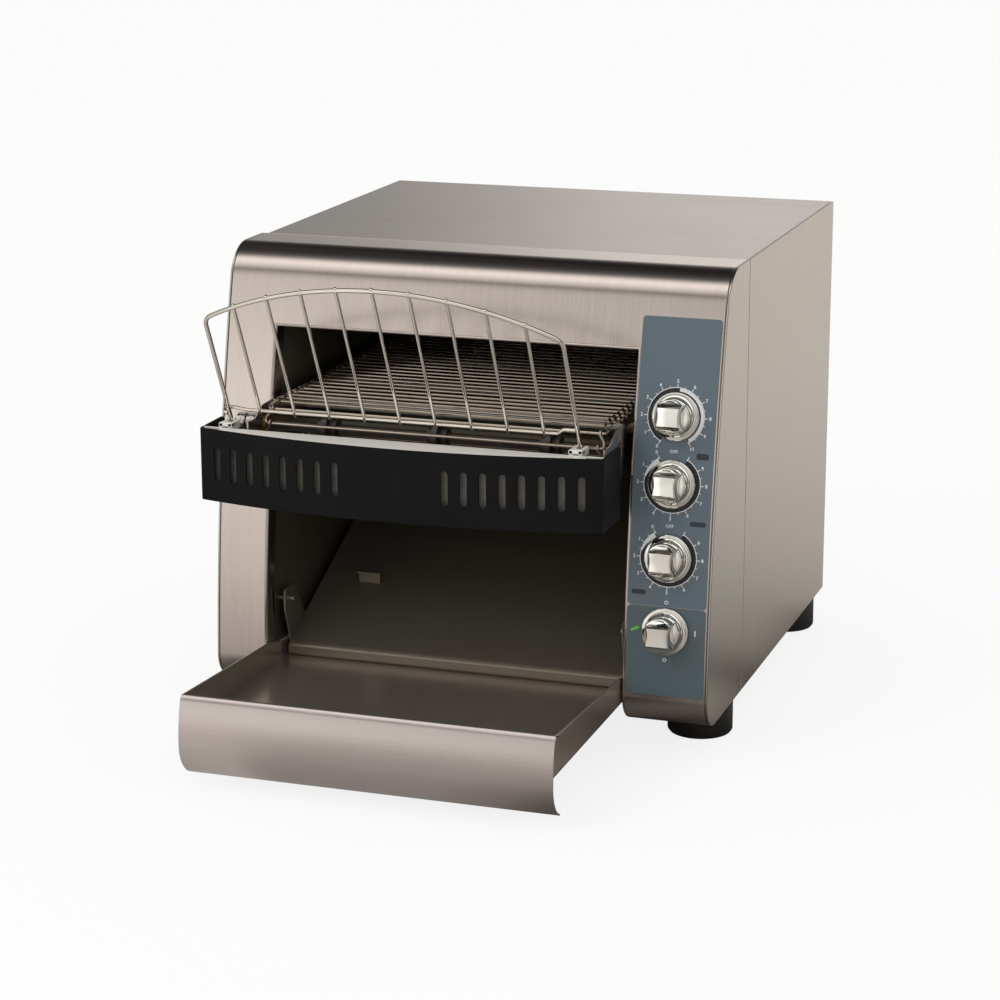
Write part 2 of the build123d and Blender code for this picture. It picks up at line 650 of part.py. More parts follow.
# Lower reflector between the heaters and the belt's return run.
reflector_x = (RAIL_LEFT + SHEET + TOUCH, RAIL_RIGHT - SHEET - TOUCH)
with BuildPart() as lower_reflector:
    slab(reflector_x, (-70, 150), (211, 211 + SHEET))
    for y in (-70, 150 - SHEET):
        slab(reflector_x, (y, y + SHEET), (211, 219))
keep(lower_reflector, "lower_reflector")

# =============================================================== front guard
# Burn guard: a bowed black band with slots and two side flanges.
guard_x = (GUARD_LEFT + GUARD_RIGHT) / 2
guard_half = (GUARD_RIGHT - GUARD_LEFT) / 2
guard_r = (guard_half**2 + GUARD_BOW**2) / (2 * GUARD_BOW)
guard_centre_y = GUARD_END_Y - GUARD_BOW + guard_r
GUARD_THICK = 1.5
CHANNEL_GAP = 4.0


def bowed_band(plane, outer_r, thick, left, right):
    """A strip that follows the guard's bow, seen from above."""
    outer_y = [guard_centre_y - sqrt(outer_r**2 - (x - guard_x) ** 2) for x in (left, right)]
    inner_r = outer_r - thick
    inner_y = [guard_centre_y - sqrt(inner_r**2 - (x - guard_x) ** 2) for x in (left, right)]
    with BuildSketch(plane) as band:
        with BuildLine():
            ThreePointArc((left, outer_y[0]), (guard_x, guard_centre_y - outer_r), (right, outer_y[1]))
            Line((right, outer_y[1]), (right, inner_y[1]))
            ThreePointArc((right, inner_y[1]), (guard_x, guard_centre_y - inner_r), (left, inner_y[0]))
            Line((left, inner_y[0]), (left, outer_y[0]))
        make_face()
    return band.sketch


guard_height = GUARD_TOP - GUARD_BOTTOM
with BuildPart() as burn_guard:
    guard_base = Plane.XY.offset(GUARD_BOTTOM)
    extrude(bowed_band(guard_base, guard_r, GUARD_THICK, GUARD_LEFT, GUARD_RIGHT), amount=guard_height)
    for low in (GUARD_LEFT, GUARD_RIGHT - GUARD_THICK):
        slab((low, low + GUARD_THICK), (GUARD_END_Y, GUARD_FLANGE_Y), (GUARD_BOTTOM, GUARD_TOP))
    rear_top = burn_guard.edges().filter_by(Axis.X).group_by(Axis.Y)[-1]
    fillet(rear_top, 6)
    slot_middle = (SLOT_TOP + SLOT_BOTTOM) / 2
    with BuildSketch(Plane.XZ.offset(120)) as slots:
        for side in (-1, 1):
            for n in range(SLOT_COUNT):
                with Locations((guard_x + side * (SLOT_FIRST + n * SLOT_PITCH), slot_middle)):
                    SlotOverall(SLOT_TOP - SLOT_BOTTOM, SLOT_WIDTH, rotation=90)
    extrude(slots.sketch, amount=80, mode=Mode.SUBTRACT)
keep(burn_guard, "burn_guard")

# Front channel: the bright ledge behind the guard, with a wall behind the
# slots and a rear wall that the rails butt against.
LEDGE_LEFT = GUARD_LEFT + 15.6
LEDGE_RIGHT = GUARD_RIGHT - 13.0
CHANNEL_REAR = RAIL_FRONT - TOUCH
channel_r = guard_r - GUARD_THICK - CHANNEL_GAP
channel_left = GUARD_LEFT + GUARD_THICK + TOUCH
channel_right = GUARD_RIGHT - GUARD_THICK - TOUCH
BACKING_HALF = guard_half - 9.1
ledge_front_r = guard_r - GUARD_THICK - TOUCH
with BuildPart() as front_channel:
    low_plane = Plane.XY.offset(GUARD_BOTTOM + 3)
    extrude(
        bowed_band(low_plane, channel_r, SHEET, guard_x - BACKING_HALF, guard_x + BACKING_HALF),
        amount=GUARD_TOP - SHEET - GUARD_BOTTOM - 3,
    )
    with BuildSketch(Plane.XY.offset(GUARD_TOP - SHEET)) as ledge:
        with BuildLine():
            ledge_y = [
                guard_centre_y - sqrt(ledge_front_r**2 - (x - guard_x) ** 2)
                for x in (LEDGE_LEFT, LEDGE_RIGHT)
            ]
            front_mid = (guard_x, guard_centre_y - ledge_front_r)
            ThreePointArc((LEDGE_LEFT, ledge_y[0]), front_mid, (LEDGE_RIGHT, ledge_y[1]))
            Line((LEDGE_RIGHT, ledge_y[1]), (LEDGE_RIGHT, CHANNEL_REAR))
            Line((LEDGE_RIGHT, CHANNEL_REAR), (LEDGE_LEFT, CHANNEL_REAR))
            Line((LEDGE_LEFT, CHANNEL_REAR), (LEDGE_LEFT, ledge_y[0]))
        make_face()
    extrude(ledge.sketch, amount=SHEET)
    slab(
        (channel_left, channel_right),
        (CHANNEL_REAR - SHEET, CHANNEL_REAR),
        (RAIL_BOTTOM, GUARD_TOP),
    )
keep(front_channel, "front_channel")

# =========================================================== wire load guard
lean = radians(ARCH_LEAN)
arch_up = (0, -sin(lean), cos(lean))
arch_plane = Plane(
    origin=(ARCH_X, ARCH_FOOT_Y, ARCH_FOOT_Z),
    x_dir=(1, 0, 0),
    z_dir=(0, -cos(lean), -sin(lean)),
)
arch_centre_v = ARCH_RISE - ARCH_R
corner_u = ARCH_HALF - ARCH_CORNER_R
corner_reach = ARCH_R - ARCH_CORNER_R
corner_v = arch_centre_v + sqrt(corner_reach**2 - corner_u**2)
blend_u = corner_u * ARCH_R / corner_reach
blend_v = arch_centre_v + (corner_v - arch_centre_v) * ARCH_R / corner_reach
diagonal = atan2(blend_v - corner_v, blend_u - corner_u) / 2
bend_u = corner_u + ARCH_CORNER_R * cos(diagonal)
bend_v = corner_v + ARCH_CORNER_R * sin(diagonal)
with BuildPart() as load_guard:
    with BuildLine(arch_plane) as arch_path:
        Line((-ARCH_HALF, -LEG_DROP), (-ARCH_HALF, corner_v))
        ThreePointArc((-ARCH_HALF, corner_v), (-bend_u, bend_v), (-blend_u, blend_v))
        ThreePointArc((-blend_u, blend_v), (0, ARCH_RISE), (blend_u, blend_v))
        ThreePointArc((blend_u, blend_v), (bend_u, bend_v), (ARCH_HALF, corner_v))
        Line((ARCH_HALF, corner_v), (ARCH_HALF, -LEG_DROP))
    with BuildSketch(Plane(origin=arch_path.line @ 0, x_dir=(1, 0, 0), z_dir=arch_path.line % 0)):
        RegularPolygon(ARCH_WIRE_R, 8)
    sweep(path=arch_path.line)
    for n in range(BAR_COUNT):
        u = (n - (BAR_COUNT - 1) / 2) * BAR_PITCH
        top_v = arch_centre_v + sqrt(ARCH_R**2 - u**2) + ARCH_WIRE_R + 1
        foot = arch_plane.from_local_coords((u, CROSS_V - 2.4, 0))
        head = arch_plane.from_local_coords((u, top_v, 0))
        rod(tuple(foot), tuple(head), BAR_WIRE_R, sides=6)
    joggle = ARCH_HALF - 14
    cross_points = [(-ARCH_HALF, CROSS_V), (joggle, CROSS_V), (joggle + 4, CROSS_V + 4), (ARCH_HALF, CROSS_V + 4)]
    for start, end in zip(cross_points, cross_points[1:]):
        rod(
            tuple(arch_plane.from_local_coords((*start, 0))),
            tuple(arch_plane.from_local_coords((*end, 0))),
            BAR_WIRE_R + 0.2,
            sides=6,
        )
keep(load_guard, "load_guard")

# Clips on the channel that the two legs drop into.
CLIP_Z = (225.5, 232.0)
with BuildPart() as guard_clips:
    for side in (-1, 1):
        x = ARCH_X + side * ARCH_HALF
        slab((x - 5, x + 5), (CHANNEL_REAR, ARCH_FOOT_Y + 5.5), CLIP_Z)
        leg_foot = arch_plane.from_local_coords((side * ARCH_HALF, -LEG_DROP - 0.3, 0))
        leg_head = arch_plane.from_local_coords((side * ARCH_HALF, 12, 0))
        rod(tuple(leg_foot), tuple(leg_head), ARCH_WIRE_R + CLIP_GAP, Mode.SUBTRACT)
keep(guard_clips, "guard_clips")

# ============================================================ tray and chute
tray_left = OPENING_LEFT + TRAY_SIDE_GAP
tray_right = OPENING_RIGHT - TRAY_SIDE_GAP
face_centre = (TRAY_FRONT + TRAY_FACE_R, TRAY_BELLY_Z)
lip_centre = (TRAY_FRONT + TRAY_LIP_R, TRAY_BELLY_Z)
face_turn = degrees(asin((TRAY_RIM - TRAY_BELLY_Z) / TRAY_FACE_R))


def arc_point(centre, radius, angle):
    """A point on a circle, in Y and Z."""
    return (centre[0] + radius * cos(radians(angle)), centre[1] + radius * sin(radians(angle)))


with BuildPart() as product_tray:
    with BuildSketch(Plane.YZ.offset(tray_left)) as face:
        with BuildLine():
            for r_less in (0, SHEET):
                CenterArc(face_centre, TRAY_FACE_R - r_less, 180 - face_turn, face_turn)
                CenterArc(lip_centre, TRAY_LIP_R - r_less, 180, TRAY_LIP_TURN)
            Line(
                arc_point(face_centre, TRAY_FACE_R, 180 - face_turn),
                arc_point(face_centre, TRAY_FACE_R - SHEET, 180 - face_turn),
            )
            Line(
                arc_point(lip_centre, TRAY_LIP_R, 180 + TRAY_LIP_TURN),
                arc_point(lip_centre, TRAY_LIP_R - SHEET, 180 + TRAY_LIP_TURN),
            )
        make_face()
    extrude(face.sketch, amount=tray_right - tray_left)
    rim_y = arc_point(face_centre, TRAY_FACE_R, 180 - face_turn)[0]
    slab((tray_left, tray_right), (rim_y + 0.4, rim_y + 7), (TRAY_RIM - 2 * SHEET, TRAY_RIM - SHEET / 2))
    slab(
        (tray_left, tray_right),
        (TRAY_FRONT + SHEET, TRAY_REAR),
        (TRAY_FLOOR, TRAY_FLOOR + SHEET),
    )
    for low in (tray_left, tray_right - SHEET):
        with BuildSketch(Plane.YZ.offset(low)) as wall:
            with BuildLine():
                Polyline(
                    (rim_y + 0.6, TRAY_RIM - 0.6),
                    (-117, 58),
                    (-80, 49),
                    (TRAY_REAR, 49),
                    (TRAY_REAR, TRAY_FLOOR),
                    (TRAY_FRONT + SHEET, TRAY_FLOOR),
                    close=True,
                )
            make_face()
        extrude(wall.sketch, amount=SHEET)
keep(product_tray, "product_tray")

# Runners: angle ledges on the chamber walls under the tray's floor.
RUNNER_LEDGE = 10.0
RUNNER_Y = (-92.0, 60.0)
runner_top = TRAY_FLOOR - TOUCH
with BuildPart() as tray_runners:
    for wall_x, turn in ((LINER_LEFT, 1), (LINER_RIGHT, -1)):
        start = wall_x + turn * TOUCH / 2
        upright = tuple(sorted((start, start + turn * SHEET)))
        ledge_x = tuple(sorted((start, start + turn * RUNNER_LEDGE)))
        slab(upright, RUNNER_Y, (runner_top - SHEET, runner_top + 12))
        slab(ledge_x, RUNNER_Y, (runner_top - SHEET, runner_top))
keep(tray_runners, "tray_runners")

# Chute: a sloping plate that bends up to the rear wall, with a turned-down
# front lip and two ears that hang on pins.
chute_left = tray_left + SHEET + CHUTE_SIDE_GAP
chute_right = tray_right - SHEET - CHUTE_SIDE_GAP
slope = radians(CHUTE_SLOPE)
chute_rear = CHAMBER_REAR - SHEET - TOUCH
bend_centre_y = chute_rear - CHUTE_BEND_R
bend_start_y = bend_centre_y + CHUTE_BEND_R * sin(slope)
bend_start_z = CHUTE_LIP_Z + (bend_start_y - CHUTE_FRONT) * sin(slope) / cos(slope)
bend_centre = (bend_centre_y, bend_start_z + CHUTE_BEND_R * cos(slope))
EAR_TOP = PIN_Z + 9
tab_x = (chute_left + 30, chute_left + 47)
with BuildPart() as toast_chute:
    with BuildSketch(Plane.YZ.offset(chute_left)) as slide:
        with BuildLine():
            Line((CHUTE_FRONT, CHUTE_LIP_Z), (bend_start_y, bend_start_z))
            CenterArc(bend_centre, CHUTE_BEND_R, CHUTE_SLOPE - 90, 90 - CHUTE_SLOPE)
            Line((chute_rear, bend_centre[1]), (chute_rear, CHUTE_TOP))
            Line((chute_rear, CHUTE_TOP), (chute_rear - SHEET, CHUTE_TOP))
            Line((chute_rear - SHEET, CHUTE_TOP), (chute_rear - SHEET, bend_centre[1]))
            CenterArc(bend_centre, CHUTE_BEND_R - SHEET, CHUTE_SLOPE - 90, 90 - CHUTE_SLOPE)
            inner_start = arc_point(bend_centre, CHUTE_BEND_R - SHEET, CHUTE_SLOPE - 90)
            Line(inner_start, (CHUTE_FRONT, CHUTE_LIP_Z + SHEET / cos(slope)))
            Line((CHUTE_FRONT, CHUTE_LIP_Z + SHEET / cos(slope)), (CHUTE_FRONT, CHUTE_LIP_Z))
        make_face()
    extrude(slide.sketch, amount=chute_right - chute_left)
    slab(
        (chute_left, chute_right),
        (CHUTE_FRONT, CHUTE_FRONT + SHEET),
        (TRAY_FLOOR + SHEET + 0.4, CHUTE_LIP_Z + SHEET),
    )
    slab((chute_left, chute_right), (CHUTE_FRONT - 1.2, CHUTE_FRONT), (CHUTE_LIP_Z - 3, CHUTE_LIP_Z + SHEET))
    for low in (chute_left, chute_right - SHEET):
        with BuildSketch(Plane.YZ.offset(low)) as ear:
            with BuildLine():
                Polyline(
                    (CHUTE_FRONT, CHUTE_LIP_Z),
                    (PIN_Y - 9, PIN_Z - 8),
                    (PIN_Y - 9, EAR_TOP),
                    (PIN_Y + 9, EAR_TOP),
                    (PIN_Y + 30, CHUTE_LIP_Z + 15),
                    close=True,
                )
            make_face()
        extrude(ear.sketch, amount=SHEET)
    rod((chute_left - 5, PIN_Y, PIN_Z), (chute_right + 5, PIN_Y, PIN_Z), PIN_R + TOUCH, Mode.SUBTRACT)
    slab(tab_x, (-18, -16.8), (80, 90))
    slab(tab_x, (-24, -16.8), (89, 90))
keep(toast_chute, "toast_chute")

with BuildPart() as chute_pins:
    for wall_x, turn in ((LINER_LEFT, 1), (LINER_RIGHT, -1)):
        head = wall_x - turn * SHEET
        rod((head - turn * 2, PIN_Y, PIN_Z), (head, PIN_Y, PIN_Z), PIN_R * 2)
        rod((head, PIN_Y, PIN_Z), (wall_x + turn * 11.5, PIN_Y, PIN_Z), PIN_R)
keep(chute_pins, "chute_pins")

# ================================================================= controls
# Printed labels over the right pillar, split above the power switch.
with BuildPart() as control_labels:
    extrude(front_band(LABEL_LEFT, -LABEL_THICK - RUNNING, -RUNNING), amount=LABEL_RIGHT - LABEL_LEFT)
    for low, high in ((LABEL_TOP, CABINET_TOP + 54), (LABEL_SPLIT, LABEL_SPLIT + 0.4), (0, LABEL_BOTTOM)):
        slab((OPENING_RIGHT - 25, CHEEK_HALF + 12), (-200, 0), (low, high), Mode.SUBTRACT)
    for z in KNOB_ZS.values():
        with BuildSketch(brow_plane(KNOB_X, z).offset(3)) as hole:
            Circle(BUSHING_R + 2 * TOUCH)
        extrude(hole.sketch, amount=-8, mode=Mode.SUBTRACT)
keep(control_labels, "control_labels")

# Control bodies sit behind the skin; each has a threaded bushing through it.
behind = FRONT_SHEET + 2 * TOUCH
BUSHING_OUT = 4.2
BODY_SIZES = {
    "speed": (24.0, 24.0, 12.0),
    "top_heat": (38.0, 38.0, 26.0),
    "bottom_heat": (38.0, 38.0, 26.0),
    "power": (36.0, 40.0, 30.0),
}
CONTROL_NODES = {
    "speed_control": ("speed",),
    "heat_controls": ("top_heat", "bottom_heat"),
    "power_switch": ("power",),
}
for name, keys in CONTROL_NODES.items():
    with BuildPart() as control:
        for key in keys:
            plane = brow_plane(KNOB_X, KNOB_ZS[key])
            width, height, depth = BODY_SIZES[key]
            with BuildSketch(plane.offset(-behind - depth)) as case_outline:
                RectangleRounded(width, height, 2)
            extrude(case_outline.sketch, amount=depth)
            with BuildSketch(plane.offset(-behind)) as bushing_outline:
                Circle(BUSHING_R)
            extrude(bushing_outline.sketch, amount=behind + BUSHING_OUT)
            with BuildSketch(plane.offset(-behind - depth)) as blades:
                with GridLocations(width / 2, height / 3, 2, 2):
                    Rectangle(6.3, 0.8)
            extrude(blades.sketch, amount=-8)
            with BuildSketch(plane.offset(-behind - depth / 2)) as bore:
                Circle(SHAFT_R + RUNNING)
            extrude(bore.sketch, amount=depth + 20, mode=Mode.SUBTRACT)
    keep(control, name)

NUT_ACROSS = 7.4
with BuildPart() as control_nuts:
    for z in KNOB_ZS.values():
        plane = brow_plane(KNOB_X, z).offset(LABEL_THICK + 2 * TOUCH)
        with BuildSketch(plane) as nut:
            RegularPolygon(NUT_ACROSS, 6)
            Circle(BUSHING_R + RUNNING, mode=Mode.SUBTRACT)
        extrude(nut.sketch, amount=2.4)
keep(control_nuts, "control_nuts")

# Knobs: plated, with a dished skirt and a waisted bar grip.
SHAFT_OUT = 17.0
SKIRT_LIP = 1.4
HOLLOW_R = 10.0
WAIST_R = 34.0
with BuildPart() as knob_form:
    with BuildSketch(Plane.XY.offset(KNOB_LIFT)):
        Circle(KNOB_R)
    extrude(amount=SKIRT_LIP)
    with BuildSketch(Plane.XY.offset(KNOB_LIFT + SKIRT_LIP)):
        Circle(KNOB_R - 0.6)
    extrude(amount=4.6, taper=38)
    with BuildSketch(Plane.XY.offset(KNOB_LIFT)):
        Circle(GRIP_LENGTH / 2)
        Rectangle(GRIP_WIDTH, GRIP_LENGTH, mode=Mode.INTERSECT)
        with Locations((-GRIP_WIDTH / 2 - WAIST_R + 1, 0), (GRIP_WIDTH / 2 + WAIST_R - 1, 0)):
            Circle(WAIST_R, mode=Mode.SUBTRACT)
    extrude(amount=KNOB_HEIGHT - KNOB_LIFT)
    fillet(knob_form.faces().sort_by(Axis.Z)[-1].edges(), 1.0)
    with BuildSketch(Plane.XY.offset(KNOB_LIFT)):
        Circle(HOLLOW_R)
    extrude(amount=3.6, mode=Mode.SUBTRACT)
    with BuildSketch(Plane.XY.offset(KNOB_LIFT)):
        Circle(SHAFT_R + 0.02)
    extrude(amount=SHAFT_OUT - KNOB_LIFT + 0.2, mode=Mode.SUBTRACT)
for key, z in KNOB_ZS.items():
    plane = brow_plane(KNOB_X, z)
    depth = BODY_SIZES[key][2]
    with BuildPart() as shaft:
        with BuildSketch(plane.offset(-behind - depth / 2 + 0.5)):
            Circle(SHAFT_R)
        extrude(amount=behind + depth / 2 - 0.5 + SHAFT_OUT)
    keep(shaft, f"{key}_shaft")
    with BuildPart() as knob:
        with Locations(plane.location):
            add(knob_form.part)
    keep(knob, f"{key}_knob")

# ==================================================================== drive
wall_out = LINER_RIGHT + SHEET
drive_pitch_r = CHAIN_PITCH / (2 * sin(radians(180 / DRIVE_TEETH)))
motor_pitch_r = CHAIN_PITCH / (2 * sin(radians(180 / MOTOR_TEETH)))
ROLLER_R = 1.65
drive_axis = (DRIVE_Y, AXLE_Z)
motor_axis = (MOTOR_Y, MOTOR_Z)
with BuildPart() as gearmotor:
    box_x = (wall_out + TOUCH, CHAIN_X - 8)
    slab(box_x, (MOTOR_Y - 20, MOTOR_Y + 20), (MOTOR_Z - 24, MOTOR_Z + 20))
    fillet(gearmotor.edges().filter_by(Axis.X), 4)
    middle_x = (box_x[0] + box_x[1]) / 2
    rod((middle_x, MOTOR_Y - 20, MOTOR_Z - 4), (middle_x, MOTOR_Y - 88, MOTOR_Z - 4), 17)
    rod((middle_x, MOTOR_Y - 88, MOTOR_Z - 4), (middle_x, MOTOR_Y - 94, MOTOR_Z - 4), 8)
    rod((box_x[1] - 12, *motor_axis), (box_x[1] + 1, *motor_axis), 4 + RUNNING, Mode.SUBTRACT)
keep(gearmotor, "gearmotor")

motor_plane = Plane(origin=(CHAIN_X, *motor_axis), x_dir=(0, 1, 0), z_dir=(1, 0, 0))
motor_tip = motor_pitch_r - ROLLER_R - 0.3
with BuildPart() as motor_pinion:
    add(toothed_disc(motor_plane, MOTOR_TEETH, motor_tip - 1.4, motor_tip, 2))
    rod((box_x[1] - 11.5, *motor_axis), (CHAIN_X + 4, *motor_axis), 4)
keep(motor_pinion, "motor_pinion")

drive_plane = Plane(origin=(CHAIN_X, *drive_axis), x_dir=(0, 1, 0), z_dir=(1, 0, 0))
drive_tip = drive_pitch_r - ROLLER_R - 0.3
with BuildPart() as drive_sprocket:
    add(toothed_disc(drive_plane, DRIVE_TEETH, drive_tip - 1.4, drive_tip, 2))
    rod((CHAIN_X - 6, *drive_axis), (CHAIN_X + 4, *drive_axis), DRIVE_R + 4)
    rod((CHAIN_X - 8, *drive_axis), (CHAIN_X + 8, *drive_axis), DRIVE_R + 0.02, Mode.SUBTRACT)
keep(drive_sprocket, "drive_sprocket")

# Roller chain round both sprockets: two link bands with rollers between.
LINK_HALF = 2.2
chain_plane = Plane(origin=(0, 0, 0), x_dir=(0, 1, 0), z_dir=(1, 0, 0))
with BuildPart() as drive_chain:
    for start in (CHAIN_X - 2.4, CHAIN_X + 1.6):
        with BuildSketch(chain_plane.offset(start)) as outer_loop:
            with Locations(drive_axis):
                Circle(drive_pitch_r + LINK_HALF)
            with Locations(motor_axis):
                Circle(motor_pitch_r + LINK_HALF)
            make_hull()
        with BuildSketch(chain_plane.offset(start)) as inner_loop:
            with Locations(drive_axis):
                Circle(drive_pitch_r - LINK_HALF)
            with Locations(motor_axis):
                Circle(motor_pitch_r - LINK_HALF)
            make_hull()
        extrude(outer_loop.sketch, amount=0.8)
        extrude(inner_loop.sketch, amount=0.8, mode=Mode.SUBTRACT)
    reach = sqrt((DRIVE_Y - MOTOR_Y) ** 2 + (AXLE_Z - MOTOR_Z) ** 2)
    line_angle = atan2(AXLE_Z - MOTOR_Z, DRIVE_Y - MOTOR_Y)
    wrap = asin((drive_pitch_r - motor_pitch_r) / reach)
    straight = reach * cos(wrap)
    big_arc = drive_pitch_r * (radians(180) + 2 * wrap)
    small_arc = motor_pitch_r * (radians(180) - 2 * wrap)
    loop = 2 * straight + big_arc + small_arc
    rollers = round(loop / CHAIN_PITCH)
    for n in range(rollers):
        run = n * loop / rollers
        side_angle = line_angle + radians(90) + wrap
        if run < straight:
            base = Vector(*motor_axis) + Vector(cos(side_angle), sin(side_angle)) * motor_pitch_r
            way = Vector(sin(side_angle), -cos(side_angle))
            spot = base + way * run
        elif run < straight + big_arc:
            angle = side_angle - (run - straight) / drive_pitch_r
            spot = Vector(*drive_axis) + Vector(cos(angle), sin(angle)) * drive_pitch_r
        elif run < 2 * straight + big_arc:
            other = line_angle - radians(90) - wrap
            base = Vector(*drive_axis) + Vector(cos(other), sin(other)) * drive_pitch_r
            way = Vector(sin(other), -cos(other))
            spot = base + way * (run - straight - big_arc)
        else:
            other = line_angle - radians(90) - wrap
            angle = other - (run - 2 * straight - big_arc) / motor_pitch_r
            spot = Vector(*motor_axis) + Vector(cos(angle), sin(angle)) * motor_pitch_r
        with BuildSketch(chain_plane.offset(CHAIN_X - 1.6)) as roller:
            with Locations((spot.X, spot.Y)):
                RegularPolygon(ROLLER_R, 6)
        extrude(roller.sketch, amount=3.2)
keep(drive_chain, "drive_chain")

# Small electrical pieces in the control bay, the board and the thermostat
# between the ceramics of the lower and the upper tubes.
board_z = (AXLE_Z + 7.8, UPPER_TUBE_Z - 20)
board_height = board_z[1] - board_z[0]
with BuildPart() as speed_board:
    slab((wall_out + 8, wall_out + 9.6), (-20, 40), board_z)
    for out, y, low, high in ((24, (-12, 4), 0.24, 0.8), (20, (12, 34), 0.12, 0.36)):
        part_z = (board_z[0] + low * board_height, board_z[0] + high * board_height)
        slab((wall_out + 9.6, wall_out + out), y, part_z)
    for y in (-15, 35):
        for z in (board_z[0] + 4, board_z[1] - 4):
            rod((wall_out, y, z), (wall_out + 8, y, z), 3)
keep(speed_board, "speed_board")

with BuildPart() as limit_thermostat:
    rod((wall_out + TOUCH, 80, UPPER_TUBE_Z - 22), (wall_out + 4, 80, UPPER_TUBE_Z - 22), 12)
    rod((wall_out + 4, 80, UPPER_TUBE_Z - 22), (wall_out + 16, 80, UPPER_TUBE_Z - 22), 9)
keep(limit_thermostat, "limit_thermostat")

with BuildPart() as terminal_block:
    slab((wall_out + 12, wall_out + 44), (190, 214), (PAN_TOP + TOUCH, PAN_TOP + 22))
    for n in range(3):
        x = wall_out + 18 + n * 10
        slab((x - 3.4, x + 3.4), (186, 218), (PAN_TOP + 10, PAN_TOP + 30), Mode.SUBTRACT)
keep(terminal_block, "terminal_block")

# ====================================================================== fan
fan_back = REAR_Y - SHEET - TOUCH
fan_front = fan_back - FAN_DEPTH
PIVOT_R = 1.5
fan_x = (OPENING_X - FAN_SIDE / 2, OPENING_X + FAN_SIDE / 2)
with BuildPart() as fan_frame:
    slab(fan_x, (fan_front, fan_back), (FAN_Z - FAN_SIDE / 2, FAN_Z + FAN_SIDE / 2))
    rod((OPENING_X, fan_front - 1, FAN_Z), (OPENING_X, fan_back + 1, FAN_Z), FAN_BORE_R, Mode.SUBTRACT)
    for side in (-1, 1):
        for up in (-1, 1):
            x = OPENING_X + side * GUARD_SCREW
            z = FAN_Z + up * GUARD_SCREW
            rod((x, fan_front - 1, z), (x, fan_back + 1, z), SCREW_R, Mode.SUBTRACT)
    rod((OPENING_X, fan_back - 3, FAN_Z), (OPENING_X, fan_back, FAN_Z), HUB_R)
    rod((OPENING_X, fan_front + 4, FAN_Z), (OPENING_X, fan_back, FAN_Z), PIVOT_R)
    slab((OPENING_X - FAN_BORE_R - 1, OPENING_X + FAN_BORE_R + 1), (fan_back - 3, fan_back), (FAN_Z - 2, FAN_Z + 2))
    slab((OPENING_X - 2, OPENING_X + 2), (fan_back - 3, fan_back), (FAN_Z - FAN_BORE_R - 1, FAN_Z + FAN_BORE_R + 1))
keep(fan_frame, "fan_frame")

rotor_y = (fan_front + 2, fan_back - 4)
with BuildPart() as fan_rotor:
    rod((OPENING_X, rotor_y[0], FAN_Z), (OPENING_X, rotor_y[1], FAN_Z), HUB_R)
    blade_depth = rotor_y[1] - rotor_y[0] - 2
    for n in range(BLADES):
        spin = 360 / BLADES * n
        hub_plane = Plane(origin=(OPENING_X, (rotor_y[0] + rotor_y[1]) / 2, FAN_Z), x_dir=(0, 1, 0),
                          z_dir=(cos(radians(spin)), 0, sin(radians(spin))))
        with BuildSketch(hub_plane.offset(HUB_R - 1)) as blade:
            Rectangle(blade_depth, 1.4, rotation=40)
        extrude(blade.sketch, amount=ROTOR_R - HUB_R + 0.5)
    rod((OPENING_X, rotor_y[0] - 1, FAN_Z), (OPENING_X, rotor_y[1] + 1, FAN_Z), PIVOT_R + RUNNING, Mode.SUBTRACT)
keep(fan_rotor, "fan_rotor")

# Finger guard over the fan hole, with its four screws.
RING_RS = (12.0, 21.0, 30.0, 39.0)
GUARD_T = 1.6
with BuildPart() as fan_guard:
    for r in RING_RS:
        with BuildSketch(Plane.XZ.offset(-REAR_Y - TOUCH)) as ring:
            with Locations((OPENING_X, FAN_Z)):
                Circle(r + GUARD_T / 2)
                Circle(r - GUARD_T / 2, mode=Mode.SUBTRACT)
        extrude(ring.sketch, amount=-GUARD_T)
    for side in (-1, 1):
        tip = GUARD_SCREW
        with BuildSketch(Plane.XZ.offset(-REAR_Y - TOUCH)) as spoke:
            with Locations((OPENING_X, FAN_Z)):
                Rectangle(2 * tip * sqrt(2), GUARD_T * 1.5, rotation=side * 45)
        extrude(spoke.sketch, amount=-GUARD_T)
    for side in (-1, 1):
        for up in (-1, 1):
            x = OPENING_X + side * GUARD_SCREW
            z = FAN_Z + up * GUARD_SCREW
            rod((x, REAR_Y + TOUCH, z), (x, REAR_Y + TOUCH + GUARD_T, z), 4.5)
            rod((x, REAR_Y - 1, z), (x, REAR_Y + 4, z), SCREW_R + TOUCH, Mode.SUBTRACT)
keep(fan_guard, "fan_guard")

# Rear screws: all alike, six for the case and four through the guard.
with BuildPart() as rear_screws:
    screw_seats = [
        (OPENING_X + side * GUARD_SCREW, FAN_Z + up * GUARD_SCREW, REAR_Y + TOUCH + GUARD_T)
        for side in (-1, 1)
        for up in (-1, 1)
    ]
    for middle in (left_panel_in + COVER_FLANGE / 2, right_panel_in - COVER_FLANGE / 2):
        screw_seats += [(middle, z, REAR_Y) for z in SCREW_ZS]
    for x, z, seat_y in screw_seats:
        rod((x, seat_y, z), (x, seat_y + 2, z), SCREW_R * 2, sides=10)
        rod((x, seat_y - 12, z), (x, seat_y, z), SCREW_R - RUNNING, sides=6)
keep(rear_screws, "rear_screws")
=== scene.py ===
"""Countertop conveyor toaster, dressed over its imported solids.

Shapes are worked out in millimetres and turned to metres as each mesh is made.
"""
from math import asin, atan2, ceil, copysign, cos, degrees, hypot, pi, radians, sin, sqrt, tan

import bmesh
import bpy
import numpy as np
from mathutils import Matrix, Vector
from mathutils.geometry import delaunay_2d_cdt


